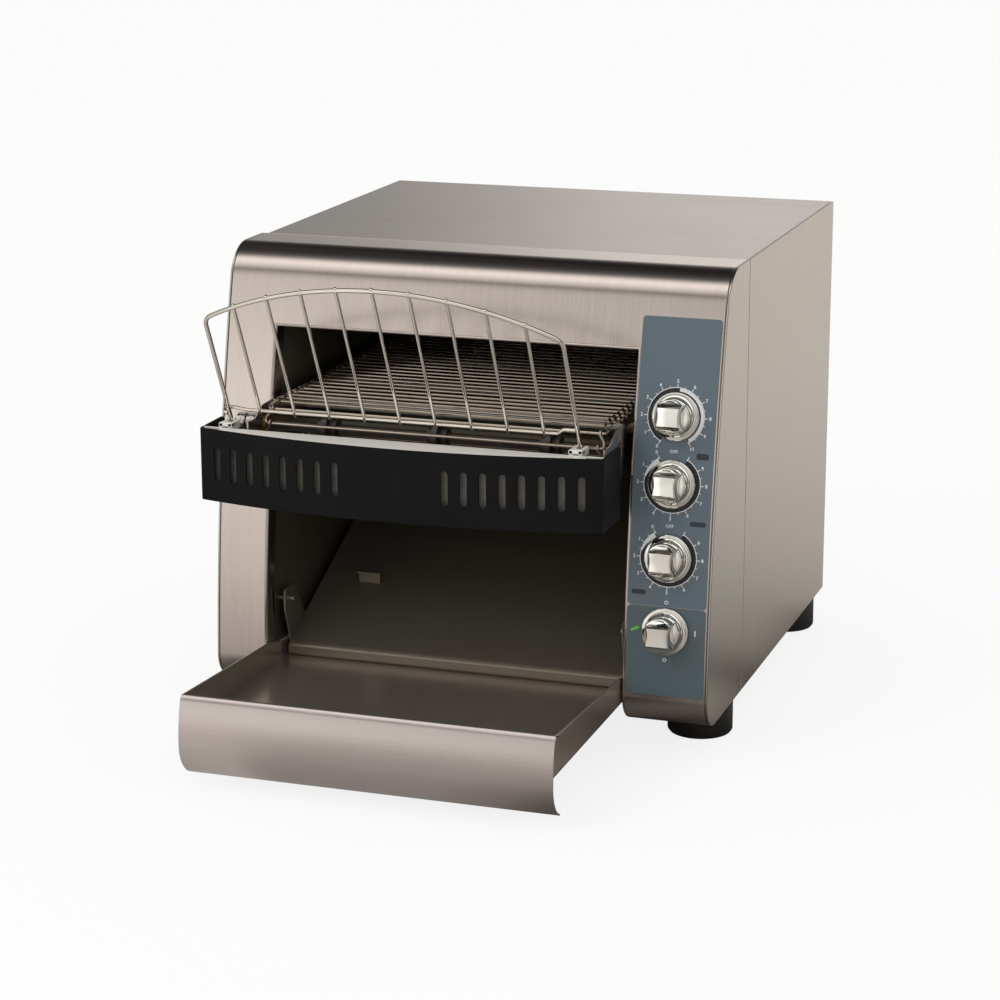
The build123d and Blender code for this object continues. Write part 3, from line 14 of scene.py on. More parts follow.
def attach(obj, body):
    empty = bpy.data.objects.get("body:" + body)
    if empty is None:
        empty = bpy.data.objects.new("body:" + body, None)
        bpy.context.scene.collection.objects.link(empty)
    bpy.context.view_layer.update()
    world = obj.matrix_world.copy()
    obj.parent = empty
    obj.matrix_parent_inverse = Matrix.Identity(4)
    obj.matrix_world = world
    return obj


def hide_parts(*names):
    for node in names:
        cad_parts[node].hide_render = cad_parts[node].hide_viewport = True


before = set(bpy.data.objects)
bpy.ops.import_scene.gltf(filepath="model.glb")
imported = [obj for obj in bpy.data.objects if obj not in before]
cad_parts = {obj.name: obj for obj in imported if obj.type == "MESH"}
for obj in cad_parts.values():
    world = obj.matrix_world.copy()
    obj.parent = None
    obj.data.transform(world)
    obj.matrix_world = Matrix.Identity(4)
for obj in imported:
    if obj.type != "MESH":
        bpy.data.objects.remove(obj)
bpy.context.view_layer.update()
MM = 0.001
QUARTER = [radians(15 * n) for n in range(7)]
FOLD_MARGIN = 5.0
WELD = 2e-4
SHEET_WELD = 3e-3


# ------------------------------------------------------------ front casing
# One bent stainless sheet: flat crown, tight crown bend, long bowed brow and
# a tucked toe.  The opening is cut through it and its edge is folded inwards.
CABINET_TOP = 346.0
CABINET_BOTTOM = 24.0
SEAM_Y = -16.0
CROWN_Y = -47.0
CROWN_R = 30.0
CROWN_TURN = radians(75.8)
BROW_R = 1400.0
TOE_R = 22.0
TOE_FLANGE = 14.0
FRONT_SHEET = 1.5
SKIN_HALF = 186.0
OPENING_LEFT = -148.0
OPENING_RIGHT = 125.0
OPENING_TOP = 290.0
LIP_BEND = 2.0
LIP_DEPTH = 14.0

crown_centre = Vector((CROWN_Y, CABINET_TOP - CROWN_R))
brow_tilt = pi / 2 - CROWN_TURN
brow_centre = crown_centre + (BROW_R - CROWN_R) * Vector((cos(brow_tilt), -sin(brow_tilt)))
toe_tilt = asin((CABINET_BOTTOM + TOE_R - brow_centre.y) / (BROW_R - TOE_R))
toe_centre = Vector((brow_centre.x - (BROW_R - TOE_R) * cos(toe_tilt), CABINET_BOTTOM + TOE_R))
CROWN_START = SEAM_Y - CROWN_Y
BROW_START = CROWN_START + CROWN_R * CROWN_TURN
TOE_START = BROW_START + BROW_R * (brow_tilt - toe_tilt)
TOE_END = TOE_START + TOE_R * (pi / 2 + toe_tilt)
SKIN_END = TOE_END + TOE_FLANGE


def on_casing(x, run, depth):
    """A point on the front casing: run is the way along the sheet from the seam."""
    if run <= CROWN_START:
        return Vector((x, SEAM_Y - run, CABINET_TOP - depth))
    if run <= BROW_START:
        centre, radius, turn = crown_centre, CROWN_R, pi / 2 + (run - CROWN_START) / CROWN_R
    elif run <= TOE_START:
        centre, radius, turn = brow_centre, BROW_R, pi - brow_tilt + (run - BROW_START) / BROW_R
    elif run <= TOE_END:
        centre, radius, turn = toe_centre, TOE_R, pi - toe_tilt + (run - TOE_START) / TOE_R
    else:
        return Vector((x, toe_centre.x + run - TOE_END, CABINET_BOTTOM + depth))
    reach = radius - depth
    return Vector((x, centre.x + reach * cos(turn), centre.y + reach * sin(turn)))


def run_at(z):
    """How far along the sheet the brow reaches a height."""
    return BROW_START + BROW_R * (brow_tilt - asin((z - brow_centre.y) / BROW_R))


def spread(low, high, step):
    """Evenly spaced values from low to high, at most a step apart."""
    count = max(1, ceil((high - low) / step - 1e-6))
    return [low + (high - low) * n / count for n in range(count + 1)]


def add_shell(shape, points, faces, weld=WELD):
    """Add one closed skin to a shape, with its faces turned outwards."""
    corners = [shape.verts.new(point) for point in points]
    sides = [shape.faces.new([corners[i] for i in face]) for face in faces]
    bmesh.ops.remove_doubles(shape, verts=corners, dist=weld)
    bmesh.ops.recalc_face_normals(shape, faces=[side for side in sides if side.is_valid])


def loft(shape, rings):
    """Skin a row of rings with equal counts, capped at both ends."""
    size = len(rings[0])
    count = len(rings)
    faces = []
    for here in range(0, (count - 1) * size, size):
        for n in range(size):
            after = (n + 1) % size
            faces.append((here + n, here + after, here + size + after, here + size + n))
    faces.append(tuple(range(size)))
    faces.append(tuple(range((count - 1) * size, count * size)))
    add_shell(shape, [point for ring in rings for point in ring], faces)


def split_loop(loop, across, along):
    """Give a loop a corner wherever it crosses one of the fold lines."""
    finer = []
    for start, end in zip(loop, loop[1:] + loop[:1]):
        shares = {0.0}
        for axis, lines in ((0, across), (1, along)):
            length = end[axis] - start[axis]
            for line in lines:
                if abs(length) > 1e-9 and 1e-5 < (line - start[axis]) / length < 1 - 1e-5:
                    shares.add((line - start[axis]) / length)
        for share in sorted(shares):
            finer.append(tuple(a + (b - a) * share for a, b in zip(start, end)))
    return finer


def shrink_loop(loop, amount):
    """Move a loop's sides to their left, which is into the sheet."""
    moved = []
    for before, here, after in zip(loop[-1:] + loop[:-1], loop, loop[1:] + loop[:1]):
        first = Vector((before[1] - here[1], here[0] - before[0])).normalized()
        second = Vector((here[1] - after[1], after[0] - here[0])).normalized()
        push = (first + second) / max(0.3, 1 + first.dot(second)) * amount
        moved.append((here[0] + push.x, here[1] + push.y))
    return moved


def sheet(shape, outline, holes, thick, place, across=(), along=(), edge=0.25):
    """Cut a flat pattern with broken edges and bend it to its place.

    The outline runs anticlockwise and the holes clockwise.  place(u, v, depth)
    gives the bent position, and across and along are the fold lines.
    """
    loops = [split_loop(loop, across, along) for loop in (outline, *holes)]
    inner = [shrink_loop(loop, edge) for loop in loops]
    corners = [point for loop in inner for point in loop]
    sides = []
    for loop in inner:
        first = len(sides)
        sides += [(first + n, first + (n + 1) % len(loop)) for n in range(len(loop))]
    ends = np.array(corners)
    low, high = ends.min(0) - FOLD_MARGIN, ends.max(0) + FOLD_MARGIN
    lines = [((c, low[1]), (c, high[1])) for c in across]
    lines += [((low[0], c), (high[0], c)) for c in along]
    for start, end in lines:
        sides.append((len(corners), len(corners) + 1))
        corners += [start, end]
    flat, _, triangles, *_ = delaunay_2d_cdt([Vector(c) for c in corners], sides, [], 0, 1e-5)
    flat = np.array([tuple(point) for point in flat])
    middles = np.array([flat[list(t)].mean(0) for t in triangles])
    inside = np.zeros(len(middles), bool)
    for loop in inner:
        for start, end in zip(loop, loop[1:] + loop[:1]):
            if start[1] != end[1]:
                beside = (start[1] > middles[:, 1]) != (end[1] > middles[:, 1])
                slant = (end[0] - start[0]) / (end[1] - start[1])
                inside ^= beside & (middles[:, 0] < start[0] + (middles[:, 1] - start[1]) * slant)
    kept = [tuple(t) for t, good in zip(triangles, inside) if good]
    points = [place(u, v, 0.0) for u, v in flat] + [place(u, v, thick) for u, v in flat]
    faces = kept + [tuple(i + len(flat) for i in reversed(t)) for t in kept]
    for full, small in zip(loops, inner):
        base = len(points)
        size = len(full)
        for ring, depth in ((small, 0.0), (full, edge), (full, thick - edge), (small, thick)):
            points += [place(u, v, depth) for u, v in ring]
        for level in range(3):
            for n in range(size):
                a = base + level * size + n
                b = base + level * size + (n + 1) % size
                faces.append((a, b, b + size, a + size))
    used = sorted({i for face in faces for i in face})
    number = {old: new for new, old in enumerate(used)}
    faces = [tuple(number[i] for i in face) for face in faces]
    add_shell(shape, [points[i] for i in used], faces, weld=SHEET_WELD)


def mesh_of(shape, name, sharp):
    """The mesh of a shape in millimetres, in metres and smooth between sharp edges."""
    bmesh.ops.scale(shape, vec=(MM, MM, MM), verts=shape.verts)
    mesh = bpy.data.meshes.new(name)
    shape.to_mesh(mesh)
    shape.free()
    mesh.polygons.foreach_set("use_smooth", [True] * len(mesh.polygons))
    mesh.set_sharp_from_angle(angle=radians(sharp))
    return mesh


def hand_over(name, mesh, paint, nodes, body):
    """Put a mesh in the scene as a piece that rides on a body."""
    mesh.materials.append(paint)
    piece = bpy.data.objects.new(name, mesh)
    bpy.context.scene.collection.objects.link(piece)
    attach(piece, body)
    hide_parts(*nodes)


def finished(name, shape, paint, nodes=(), body="cabinet", sharp=32):
    """Turn a shape in millimetres into one piece."""
    hand_over(name, mesh_of(shape, name, sharp), paint, nodes, body)


class Reading:
    """An output inside a material, so that its sums are written in Python."""

    def __init__(self, tree, socket):
        self.tree = tree
        self.socket = socket

    def node(self, kind, settings=None, inputs=None, output=0):
        """Add a node: its settings first, then the values or links it takes."""
        made = self.tree.nodes.new(kind)
        for key, value in (settings or {}).items():
            if key == "stops":
                ramp = made.color_ramp
                while len(ramp.elements) < len(value):
                    ramp.elements.new(0.5)
                for stop, (place, colour) in zip(ramp.elements, value):
                    stop.position = place
                    stop.color = (*colour, 1.0)
            else:
                setattr(made, key, value)
        for key, value in (inputs or {}).items():
            if isinstance(value, Reading):
                self.tree.links.new(value.socket, made.inputs[key])
            else:
                made.inputs[key].default_value = value
        return Reading(self.tree, made.outputs[output])

    def sum(self, operation, *values):
        return self.node("ShaderNodeMath", {"operation": operation}, dict(enumerate(values)))

    def __add__(self, other):
        return self.sum("ADD", self, other)

    __radd__ = __add__

    def __sub__(self, other):
        return self.sum("SUBTRACT", self, other)

    def __rsub__(self, other):
        return self.sum("SUBTRACT", other, self)

    def __mul__(self, other):
        return self.sum("MULTIPLY", self, other)

    __rmul__ = __mul__

    def __truediv__(self, other):
        return self.sum("DIVIDE", self, other)

    def __gt__(self, other):
        return self.sum("GREATER_THAN", self, other)


def open_paint(name):
    """A new material: the place on the piece, its surface node and the material."""
    paint = bpy.data.materials.new(name)
    paint.use_nodes = True
    surface = paint.node_tree.nodes["Principled BSDF"]
    place = Reading(paint.node_tree, None).node("ShaderNodeTexCoord", output="Object")
    return place, surface, paint


def feed(surface, **inputs):
    """Set or link the surface node's inputs, named with _ for a space."""
    for key, value in inputs.items():
        socket = surface.inputs[key.replace("_", " ")]
        if isinstance(value, Reading):
            surface.id_data.links.new(value.socket, socket)
        else:
            socket.default_value = value


def streaks(place, grain, detail=2.0):
    """Noise stretched along the grain: grain is its scale in X, Y and Z."""
    stretched = place.node("ShaderNodeMapping", None, {"Vector": place, "Scale": grain})
    return place.node("ShaderNodeTexNoise", None, {"Vector": stretched, "Scale": 1.0, "Detail": detail})


def tinted(amount, dark, light):
    """The colour between two others."""
    return amount.node(
        "ShaderNodeMix",
        {"data_type": "RGBA"},
        {"Factor": amount, "A": (*dark, 1.0), "B": (*light, 1.0)},
        output="Result",
    )


def brushed(name, tone, grain, rough=0.27, lines=0.00003, contrast=0.07, metal=1.0):
    """Brushed stainless sheet: grain is how fine its lines are in X, Y and Z."""
    place, surface, paint = open_paint(name)
    fine = streaks(place, grain)
    wide = streaks(place, tuple(g * 0.12 for g in grain), 1.0)
    cloud = place.node("ShaderNodeTexNoise", None, {"Vector": place, "Scale": 9.0, "Detail": 2.0})
    amount = fine * 0.5 + wide * 0.35 + cloud * 0.15
    dark = tuple(c * (1 - contrast) for c in tone)
    light = tuple(min(1.0, c * (1 + contrast)) for c in tone)
    scratches = {"Height": fine, "Distance": lines, "Strength": 1.0}
    relief = place.node("ShaderNodeBump", None, scratches, "Normal")
    feed(
        surface,
        Base_Color=tinted(amount, dark, light),
        Metallic=metal,
        Roughness=rough - 0.05 + fine * 0.06 + cloud * 0.04,
        Normal=relief,
    )
    return paint


def plain_finish(name, dark, light, metal, rough, size=200.0, detail=3.0, uneven=0.12):
    """A finish between two close tones; size and detail are its mottling's."""
    place, surface, paint = open_paint(name)
    grain = place.node("ShaderNodeTexNoise", None, {"Vector": place, "Scale": size, "Detail": detail})
    feed(surface, Base_Color=tinted(grain, dark, light), Metallic=metal, Roughness=rough + grain * uneven)
    return paint


STEEL = (0.56, 0.515, 0.47)
casing_steel = brushed(
    "steel_lines_down_front", (0.56, 0.50, 0.475), (1700.0, 45.0, 45.0), rough=0.17, contrast=0.12
)
crown_folds = spread(CROWN_START, BROW_START, 1.2)
brow_folds = spread(BROW_START, TOE_START, 8.0)
toe_folds = spread(TOE_START, TOE_END, 1.6)
skin_folds = sorted(set(crown_folds + brow_folds + toe_folds))
notch_left = OPENING_LEFT - LIP_BEND
notch_right = OPENING_RIGHT + LIP_BEND
notch_run = run_at(OPENING_TOP)
casing = bmesh.new()
skin_outline = [
    (-SKIN_HALF, 0.0),
    (SKIN_HALF, 0.0),
    (SKIN_HALF, SKIN_END),
    (notch_right, SKIN_END),
    (notch_right, notch_run - LIP_BEND),
    (notch_left, notch_run - LIP_BEND),
    (notch_left, SKIN_END),
    (-SKIN_HALF, SKIN_END),
]
sheet(casing, skin_outline, [], FRONT_SHEET, on_casing, along=skin_folds)

lip_section = [(LIP_BEND * (1 - sin(t)), LIP_BEND * (1 - cos(t))) for t in QUARTER]
lip_section += [(0.0, LIP_DEPTH - 0.4), (0.4, LIP_DEPTH), (FRONT_SHEET - 0.4, LIP_DEPTH)]
lip_section += [(FRONT_SHEET, LIP_DEPTH - 0.4)]
inner_bend = LIP_BEND - FRONT_SHEET
lip_section += [(LIP_BEND - inner_bend * cos(t), LIP_BEND - inner_bend * sin(t)) for t in QUARTER]
side_runs = [run for run in skin_folds if run > notch_run + 1] + [SKIN_END]
lip_path = [(OPENING_LEFT, run, -1, 0) for run in reversed(side_runs)]
lip_path += [(OPENING_LEFT, notch_run, -1, -1), (OPENING_RIGHT, notch_run, 1, -1)]
lip_path += [(OPENING_RIGHT, run, 1, 0) for run in side_runs]
lip = []
for x, run, across, along in lip_path:
    lip.append([on_casing(x + across * out, run + along * out, depth) for out, depth in lip_section])
loft(casing, lip)
finished("front_casing_skin", casing, casing_steel, ["front_casing"])


# ------------------------------------------------------------ front cheeks
# Flat stainless plates that close both sides of the front casing, cut to its
# outline, with a bent rib that the skin is screwed to from inside.
CHEEK_OUT = 188.0
RIB = [(1.2, 1.6), (11.0, 1.6), (11.0, 3.0), (1.2, 3.0)]
cheek_steel = brushed("steel_lines_down_sides", STEEL, (55.0, 1500.0, 45.0))
outline_runs = [0.0] + skin_folds + [TOE_END]
front_outline = [on_casing(0, run, 0)[1:] for run in outline_runs]
for side, name in ((1, "front_cheek_right"), (-1, "front_cheek_left")):
    cheek = bmesh.new()
    pattern = [tuple(point) for point in front_outline] + [(SEAM_Y, CABINET_BOTTOM)]

    def on_cheek(y, z, depth, side=side):
        return Vector((side * (CHEEK_OUT - depth), y, z))

    sheet(cheek, pattern, [], FRONT_SHEET, on_cheek, edge=0.35)
    rib = []
    for run in outline_runs:
        if 3.0 < run < TOE_END:
            rib.append([on_casing(side * (CHEEK_OUT - inwards), run, depth) for inwards, depth in RIB])
    loft(cheek, rib)
    finished(f"{name}_plate", cheek, cheek_steel, [name])


# ------------------------------------------------- top cover and side panels
# The rear casing: a top sheet that laps over the left panel and stops short
# of the right one, and two side sheets with flanges for the rear screws.
SHEET = 1.2
REAR_Y = 264.0
PANEL_FRONT = SEAM_Y + 0.8
BODY_LEFT = -183.0
BODY_RIGHT = 188.0
COVER_RIGHT = 186.3
COVER_FLANGE = 12.0
LAP = 0.6


def folded_sheet(shape, low, high, thick, axis, out, edge=0.25):
    """A flat sheet square to one axis, low and high being its two corners."""
    first, second = [n for n in range(3) if n != axis]
    pattern = [(low[0], low[1]), (high[0], low[1]), (high[0], high[1]), (low[0], high[1])]

    def place(u, v, depth):
        point = [0.0, 0.0, 0.0]
        point[first], point[second], point[axis] = u, v, out[0] - depth * out[1]
        return Vector(point)

    sheet(shape, pattern, [], thick, place, edge=edge)


cover_steel = brushed(
    "steel_lines_across_top", (0.56, 0.515, 0.50), (22.0, 700.0, 700.0), rough=0.24, contrast=0.16
)
cover = bmesh.new()
folded_sheet(cover, (BODY_LEFT, PANEL_FRONT), (COVER_RIGHT, REAR_Y), SHEET, 2, (CABINET_TOP, 1))
flange_low = CABINET_TOP - COVER_FLANGE
flange_high = CABINET_TOP - LAP
folded_sheet(cover, (PANEL_FRONT, flange_low), (REAR_Y - 4, flange_high), SHEET, 0, (COVER_RIGHT, 1))
folded_sheet(cover, (-160, flange_low), (160, flange_high), SHEET, 1, (PANEL_FRONT, -1))
finished("top_cover_sheet", cover, cover_steel, ["top_cover"])

for name, out, side, top in (
    ("side_panel_right", BODY_RIGHT, 1, CABINET_TOP),
    ("side_panel_left", BODY_LEFT, -1, CABINET_TOP - SHEET - 0.1),
):
    panel = bmesh.new()
    folded_sheet(panel, (PANEL_FRONT, CABINET_BOTTOM), (REAR_Y, top), SHEET, 0, (out, side), edge=0.35)
    inner = out - side * SHEET
    flange = tuple(sorted((inner, inner - side * COVER_FLANGE)))
    folded_sheet(panel, (flange[0], 30), (flange[1], 332), SHEET, 1, (REAR_Y - 1.3, 1))
    finished(f"{name}_sheet", panel, cheek_steel, [name])


# -------------------------------------------------------------- rear panel
# A screwed-on back sheet with pressed louvres over the control bay, a round
# fan hole and a hole for the mains inlet.
OPENING_X = (OPENING_LEFT + OPENING_RIGHT) / 2
REAR_LEFT = -181.7
REAR_RIGHT = 186.7
REAR_LOW = 24.1
REAR_HIGH = 344.7
FAN_Z = 286.0
FAN_HOLE_R = 37.5
GLAND = (156.0, 48.0)
LOUVRE_X = 156.8
LOUVRE_SLOT = (20.0, 2.4)
LOUVRE_HALF = 20.6
LOUVRES = [80 + 14 * n for n in range(8)]


def circle_hole(x, z, radius, count=24):
    """A round hole in a pattern, run clockwise."""
    turns = [-2 * pi * n / count for n in range(count)]
    return [(x + radius * cos(turn), z + radius * sin(turn)) for turn in turns]


rear = bmesh.new()
rear_outline = [(REAR_LEFT, REAR_LOW), (REAR_RIGHT, REAR_LOW)]
rear_outline += [(REAR_RIGHT, REAR_HIGH), (REAR_LEFT, REAR_HIGH)]
rear_holes = [circle_hole(OPENING_X, FAN_Z, FAN_HOLE_R, 48), circle_hole(*GLAND, 8.2)]
left, right = LOUVRE_X - LOUVRE_SLOT[0], LOUVRE_X + LOUVRE_SLOT[0]
for z in LOUVRES:
    low, high = z - LOUVRE_SLOT[1], z + LOUVRE_SLOT[1]
    rear_holes.append([(left, low), (left, high), (right, high), (right, low)])


def on_rear(x, z, depth):
    return Vector((x, REAR_Y - depth, z))


sheet(rear, rear_outline, rear_holes, SHEET, on_rear)
for z in LOUVRES:
    rings = []
    for x in spread(LOUVRE_X - LOUVRE_HALF, LOUVRE_X + LOUVRE_HALF, 1.6):
        swell = sqrt(max(0.0, 1 - (abs(x - LOUVRE_X) / LOUVRE_HALF) ** 6))
        outside = [(0.05 + 4.2 * swell * sin(turn), 2.9 - 5.0 * (1 - cos(turn))) for turn in QUARTER]
        inside = [(0.01 + 3.3 * swell * sin(turn), 2.8 - 4.1 * (1 - cos(turn))) for turn in QUARTER]
        rings.append([Vector((x, REAR_Y + out, z + up)) for out, up in outside + inside[::-1]])
    loft(rear, rings)
rear_steel = brushed("steel_lines_down_back", STEEL, (1500.0, 55.0, 45.0))
finished("rear_panel_sheet", rear, rear_steel, ["rear_panel"])


# -------------------------------------------------------------- burn guard
# A black powder-coated steel band, bowed across the front below the belt and
# flanged back at both ends, with two groups of eight slots.
GUARD_LEFT = -179.2
GUARD_RIGHT = 123.0
GUARD_TOP = 228.5
GUARD_BOTTOM = 175.5
GUARD_END_Y = -157.3
GUARD_BOW = 18.5
GUARD_FLANGE_Y = -115.0
GUARD_SHEET = 1.5
GUARD_BEND = 2.2
SLOT_FIRST = 40.9
SLOT_PITCH = 13.6
SLOT_COUNT = 8
SLOT_LOW = 190.5
SLOT_HIGH = 215.5
SLOT_HALF = 2.5
GUARD_CORNER = 6.0
guard_x = (GUARD_LEFT + GUARD_RIGHT) / 2
guard_half = (GUARD_RIGHT - GUARD_LEFT) / 2
guard_r = (guard_half**2 + GUARD_BOW**2) / (2 * GUARD_BOW)
guard_y = GUARD_END_Y - GUARD_BOW + guard_r
bow_turn = asin((guard_half - GUARD_BEND) / guard_r)
BOW_RUN = bow_turn * guard_r
BEND_TURN = pi / 2 - bow_turn
BEND_RUN = BEND_TURN * GUARD_BEND


def on_guard(u, z, depth):
    """Along the band from its middle, round the end bend and back the flange."""
    side = 1 if u >= 0 else -1
    run = abs(u)
    if run <= BOW_RUN:
        turn = run / guard_r
        reach = guard_r - depth
        return Vector((guard_x + side * reach * sin(turn), guard_y - reach * cos(turn), z))
    cx = (guard_r - GUARD_BEND) * sin(bow_turn)
    cy = (guard_r - GUARD_BEND) * cos(bow_turn)
    turn = bow_turn + min(run - BOW_RUN, BEND_RUN) / GUARD_BEND
    reach = GUARD_BEND - depth
    x = cx + reach * sin(turn)
    y = guard_y - cy - reach * cos(turn)
    y += max(0.0, run - BOW_RUN - BEND_RUN)
    return Vector((guard_x + side * x, y, z))


def slot_hole(x, low, high, half):
    """An upright slot with round ends, run clockwise."""
    turns = [pi * n / 8 for n in range(9)]
    top = [(x - half * cos(turn), high - half + half * sin(turn)) for turn in turns]
    foot = [(x + half * cos(turn), low + half - half * sin(turn)) for turn in turns]
    return top + foot


flange_length = GUARD_FLANGE_Y - on_guard(BOW_RUN + BEND_RUN, 0, 0).y
guard_end = BOW_RUN + BEND_RUN + flange_length
top_right = []
for turn in reversed(QUARTER):
    from_end = GUARD_CORNER * (1 - sin(turn))
    from_top = GUARD_CORNER * (1 - cos(turn))
    top_right.append((guard_end - from_end, GUARD_TOP - from_top))
top_left = [(-u, v) for u, v in reversed(top_right)]
guard_outline = [(-guard_end, GUARD_BOTTOM), (guard_end, GUARD_BOTTOM)] + top_right + top_left
slots = []
for side in (-1, 1):
    for n in range(SLOT_COUNT):
        spot = asin(side * (SLOT_FIRST + n * SLOT_PITCH) / guard_r) * guard_r
        slots.append(slot_hole(spot, SLOT_LOW, SLOT_HIGH, SLOT_HALF))
bow_folds = spread(-BOW_RUN, BOW_RUN, 6.0)
bend_folds = [BOW_RUN + BEND_RUN * n / 6 for n in range(1, 7)]
guard_folds = sorted(bow_folds + bend_folds + [-u for u in bend_folds])
guard = bmesh.new()
sheet(guard, guard_outline, slots, GUARD_SHEET, on_guard, across=guard_folds, edge=0.35)

place, surface, black_coat = open_paint("black_powder_coat")
grit = place.node("ShaderNodeTexNoise", None, {"Vector": place, "Scale": 1400.0, "Detail": 2.0})
haze = place.node("ShaderNodeTexNoise", None, {"Vector": place, "Scale": 14.0, "Detail": 3.0})
pimples = {"Height": grit, "Distance": 0.00003, "Strength": 0.6}
relief = place.node("ShaderNodeBump", None, pimples, "Normal")
feed(
    surface,
    Base_Color=tinted(haze, (0.006, 0.006, 0.0065), (0.012, 0.012, 0.013)),
    Roughness=0.34 + haze * 0.12,
    Specular_IOR_Level=0.08,
    Normal=relief,
)
finished("burn_guard_band", guard, black_coat, ["burn_guard"])


# ----------------------------------------------------------- front channel
# The bright ledge behind the guard's top edge, folded from one stainless
# sheet with the wall that the rails meet.  A strip of dull zinc-coated steel
# behind the slots backs them.
LEDGE_LEFT = -163.6
LEDGE_RIGHT = 110.0
CHANNEL_REAR = -151.8
WALL_LEFT = -177.6
WALL_RIGHT = 121.4
WALL_FOOT = 203.8
BACKING_HALF = 142.0
BACKING_LOW = 178.5
BACKING_HIGH = 227.2
ledge_r = guard_r - GUARD_SHEET - 0.1
channel_r = guard_r - GUARD_SHEET - 4.0


def on_ledge(x, y, depth):
    return Vector((x, y, GUARD_TOP - depth))


def bowed_y(x, radius):
    """Where an arc about the guard's own centre lies in Y."""
    return guard_y - sqrt(radius**2 - (x - guard_x) ** 2)


channel = bmesh.new()
ledge_outline = [(x, bowed_y(x, ledge_r)) for x in spread(LEDGE_LEFT, LEDGE_RIGHT, 6)]
ledge_outline += [(LEDGE_RIGHT, CHANNEL_REAR), (LEDGE_LEFT, CHANNEL_REAR)]
sheet(channel, ledge_outline, [], SHEET, on_ledge)
folded_sheet(channel, (WALL_LEFT, WALL_FOOT), (WALL_RIGHT, GUARD_TOP), SHEET, 1, (CHANNEL_REAR, 1))
bright_steel = brushed(
    "bright_rolled_steel", (0.90, 0.88, 0.84), (1100.0, 60.0, 60.0), rough=0.4, metal=0.25
)
finished("front_channel_sheet", channel, bright_steel, ["front_channel"])
backing = bmesh.new()
inner_r = channel_r - SHEET
edges = [(channel_r, BACKING_LOW), (channel_r, BACKING_HIGH)]
edges += [(inner_r, BACKING_HIGH), (inner_r, BACKING_LOW)]
backing_rings = []
for x in spread(guard_x - BACKING_HALF, guard_x + BACKING_HALF, 6):
    backing_rings.append([Vector((x, bowed_y(x, radius), z)) for radius, z in edges])
loft(backing, backing_rings)
place, surface, dull_zinc = open_paint("dull_zinc_sheet")
spangle = place.node("ShaderNodeTexVoronoi", None, {"Vector": place, "Scale": 160.0})
feed(
    surface,
    Base_Color=tinted(spangle, (0.17, 0.155, 0.14), (0.25, 0.235, 0.215)),
    Metallic=0.35,
    Roughness=0.5 + spangle * 0.1,
)
finished("front_channel_backing", backing, dull_zinc)


# --------------------------------------------------------- wire load guard
# Nickel-plated spring wire: one heavy arch, nine lighter uprights welded
# behind it, and one cross wire that wraps the left leg.  Its legs stand in
# two folded clips on the ledge.
ARCH_HALF = 130.85
ARCH_FOOT = Vector((-30.3, -141.0, 233.0))
ARCH_LEAN = radians(26.8)
ARCH_R = 277.0
ARCH_RISE = 123.0
ARCH_CORNER = 10.0
ARCH_WIRE_R = 1.6
UPRIGHT_WIRE_R = 1.25
UPRIGHT_PITCH = 26.55
CROSS_WIRE_R = 1.35
CROSS_V = 8.7
LEG_DROP = 5.4
NOSE_LENGTH = 0.3
NOSE_WIDTH = 0.6


def on_arch(u, v, w=0.0):
    """In the arch's own plane: u across, v up the lean, w towards the rear."""
    rearward = -v * sin(ARCH_LEAN) + w * cos(ARCH_LEAN)
    upward = v * cos(ARCH_LEAN) + w * sin(ARCH_LEAN)
    return ARCH_FOOT + Vector((u, rearward, upward))


def wire(shape, path, radius, sides=12):
    """Sweep a round wire along points, with slightly rounded cut ends."""
    points = [Vector(point) for point in path]
    last = len(points) - 1
    nose = radius * NOSE_LENGTH
    rings = []
    normal = None
    for n, point in enumerate(points):
        heading = (points[min(n + 1, last)] - points[max(n - 1, 0)]).normalized()
        normal = heading.orthogonal() if normal is None else normal - heading * normal.dot(heading)
        normal.normalize()
        across = heading.cross(normal)
        turns = [2 * pi * k / sides for k in range(sides)]
        spokes = [(normal * cos(turn) + across * sin(turn)) * radius for turn in turns]
        if n == 0:
            rings.append([point + spoke * NOSE_WIDTH for spoke in spokes])
            point = point + heading * nose
        if n == last:
            rings.append([point - heading * nose + spoke for spoke in spokes])
            rings.append([point + spoke * NOSE_WIDTH for spoke in spokes])
        else:
            rings.append([point + spoke for spoke in spokes])
    loft(shape, rings)


def arch_height(u):
    """How high the arch's big curve is above the foot line."""
    return ARCH_RISE - ARCH_R + sqrt(ARCH_R**2 - u**2)


corner_u = ARCH_HALF - ARCH_CORNER
corner_v = ARCH_RISE - ARCH_R + sqrt((ARCH_R - ARCH_CORNER) ** 2 - corner_u**2)
blend = atan2(corner_v - ARCH_RISE + ARCH_R, corner_u)
half_arch = [(ARCH_HALF, v) for v in (-LEG_DROP, 20.0, 45.0, corner_v)]
for n in range(1, 9):
    turn = blend * n / 8
    half_arch.append((corner_u + ARCH_CORNER * cos(turn), corner_v + ARCH_CORNER * sin(turn)))
blend_u = half_arch[-1][0]
half_arch += [(u, arch_height(u)) for u in reversed(spread(0.0, blend_u, 6.0)[:-1])]
arch_line = [on_arch(-u, v) for u, v in half_arch] + [on_arch(u, v) for u, v in reversed(half_arch[:-1])]
arch = bmesh.new()
wire(arch, arch_line, ARCH_WIRE_R, 16)
for n in range(-4, 5):
    u = n * UPRIGHT_PITCH
    wire(arch, [on_arch(u, v, 0.1) for v in (CROSS_V - 2.4, 50, arch_height(u) + 2.5)], UPRIGHT_WIRE_R)
joggle = ARCH_HALF - 14
cross_line = [(-ARCH_HALF - 1.0, -3.2, -2.6)]
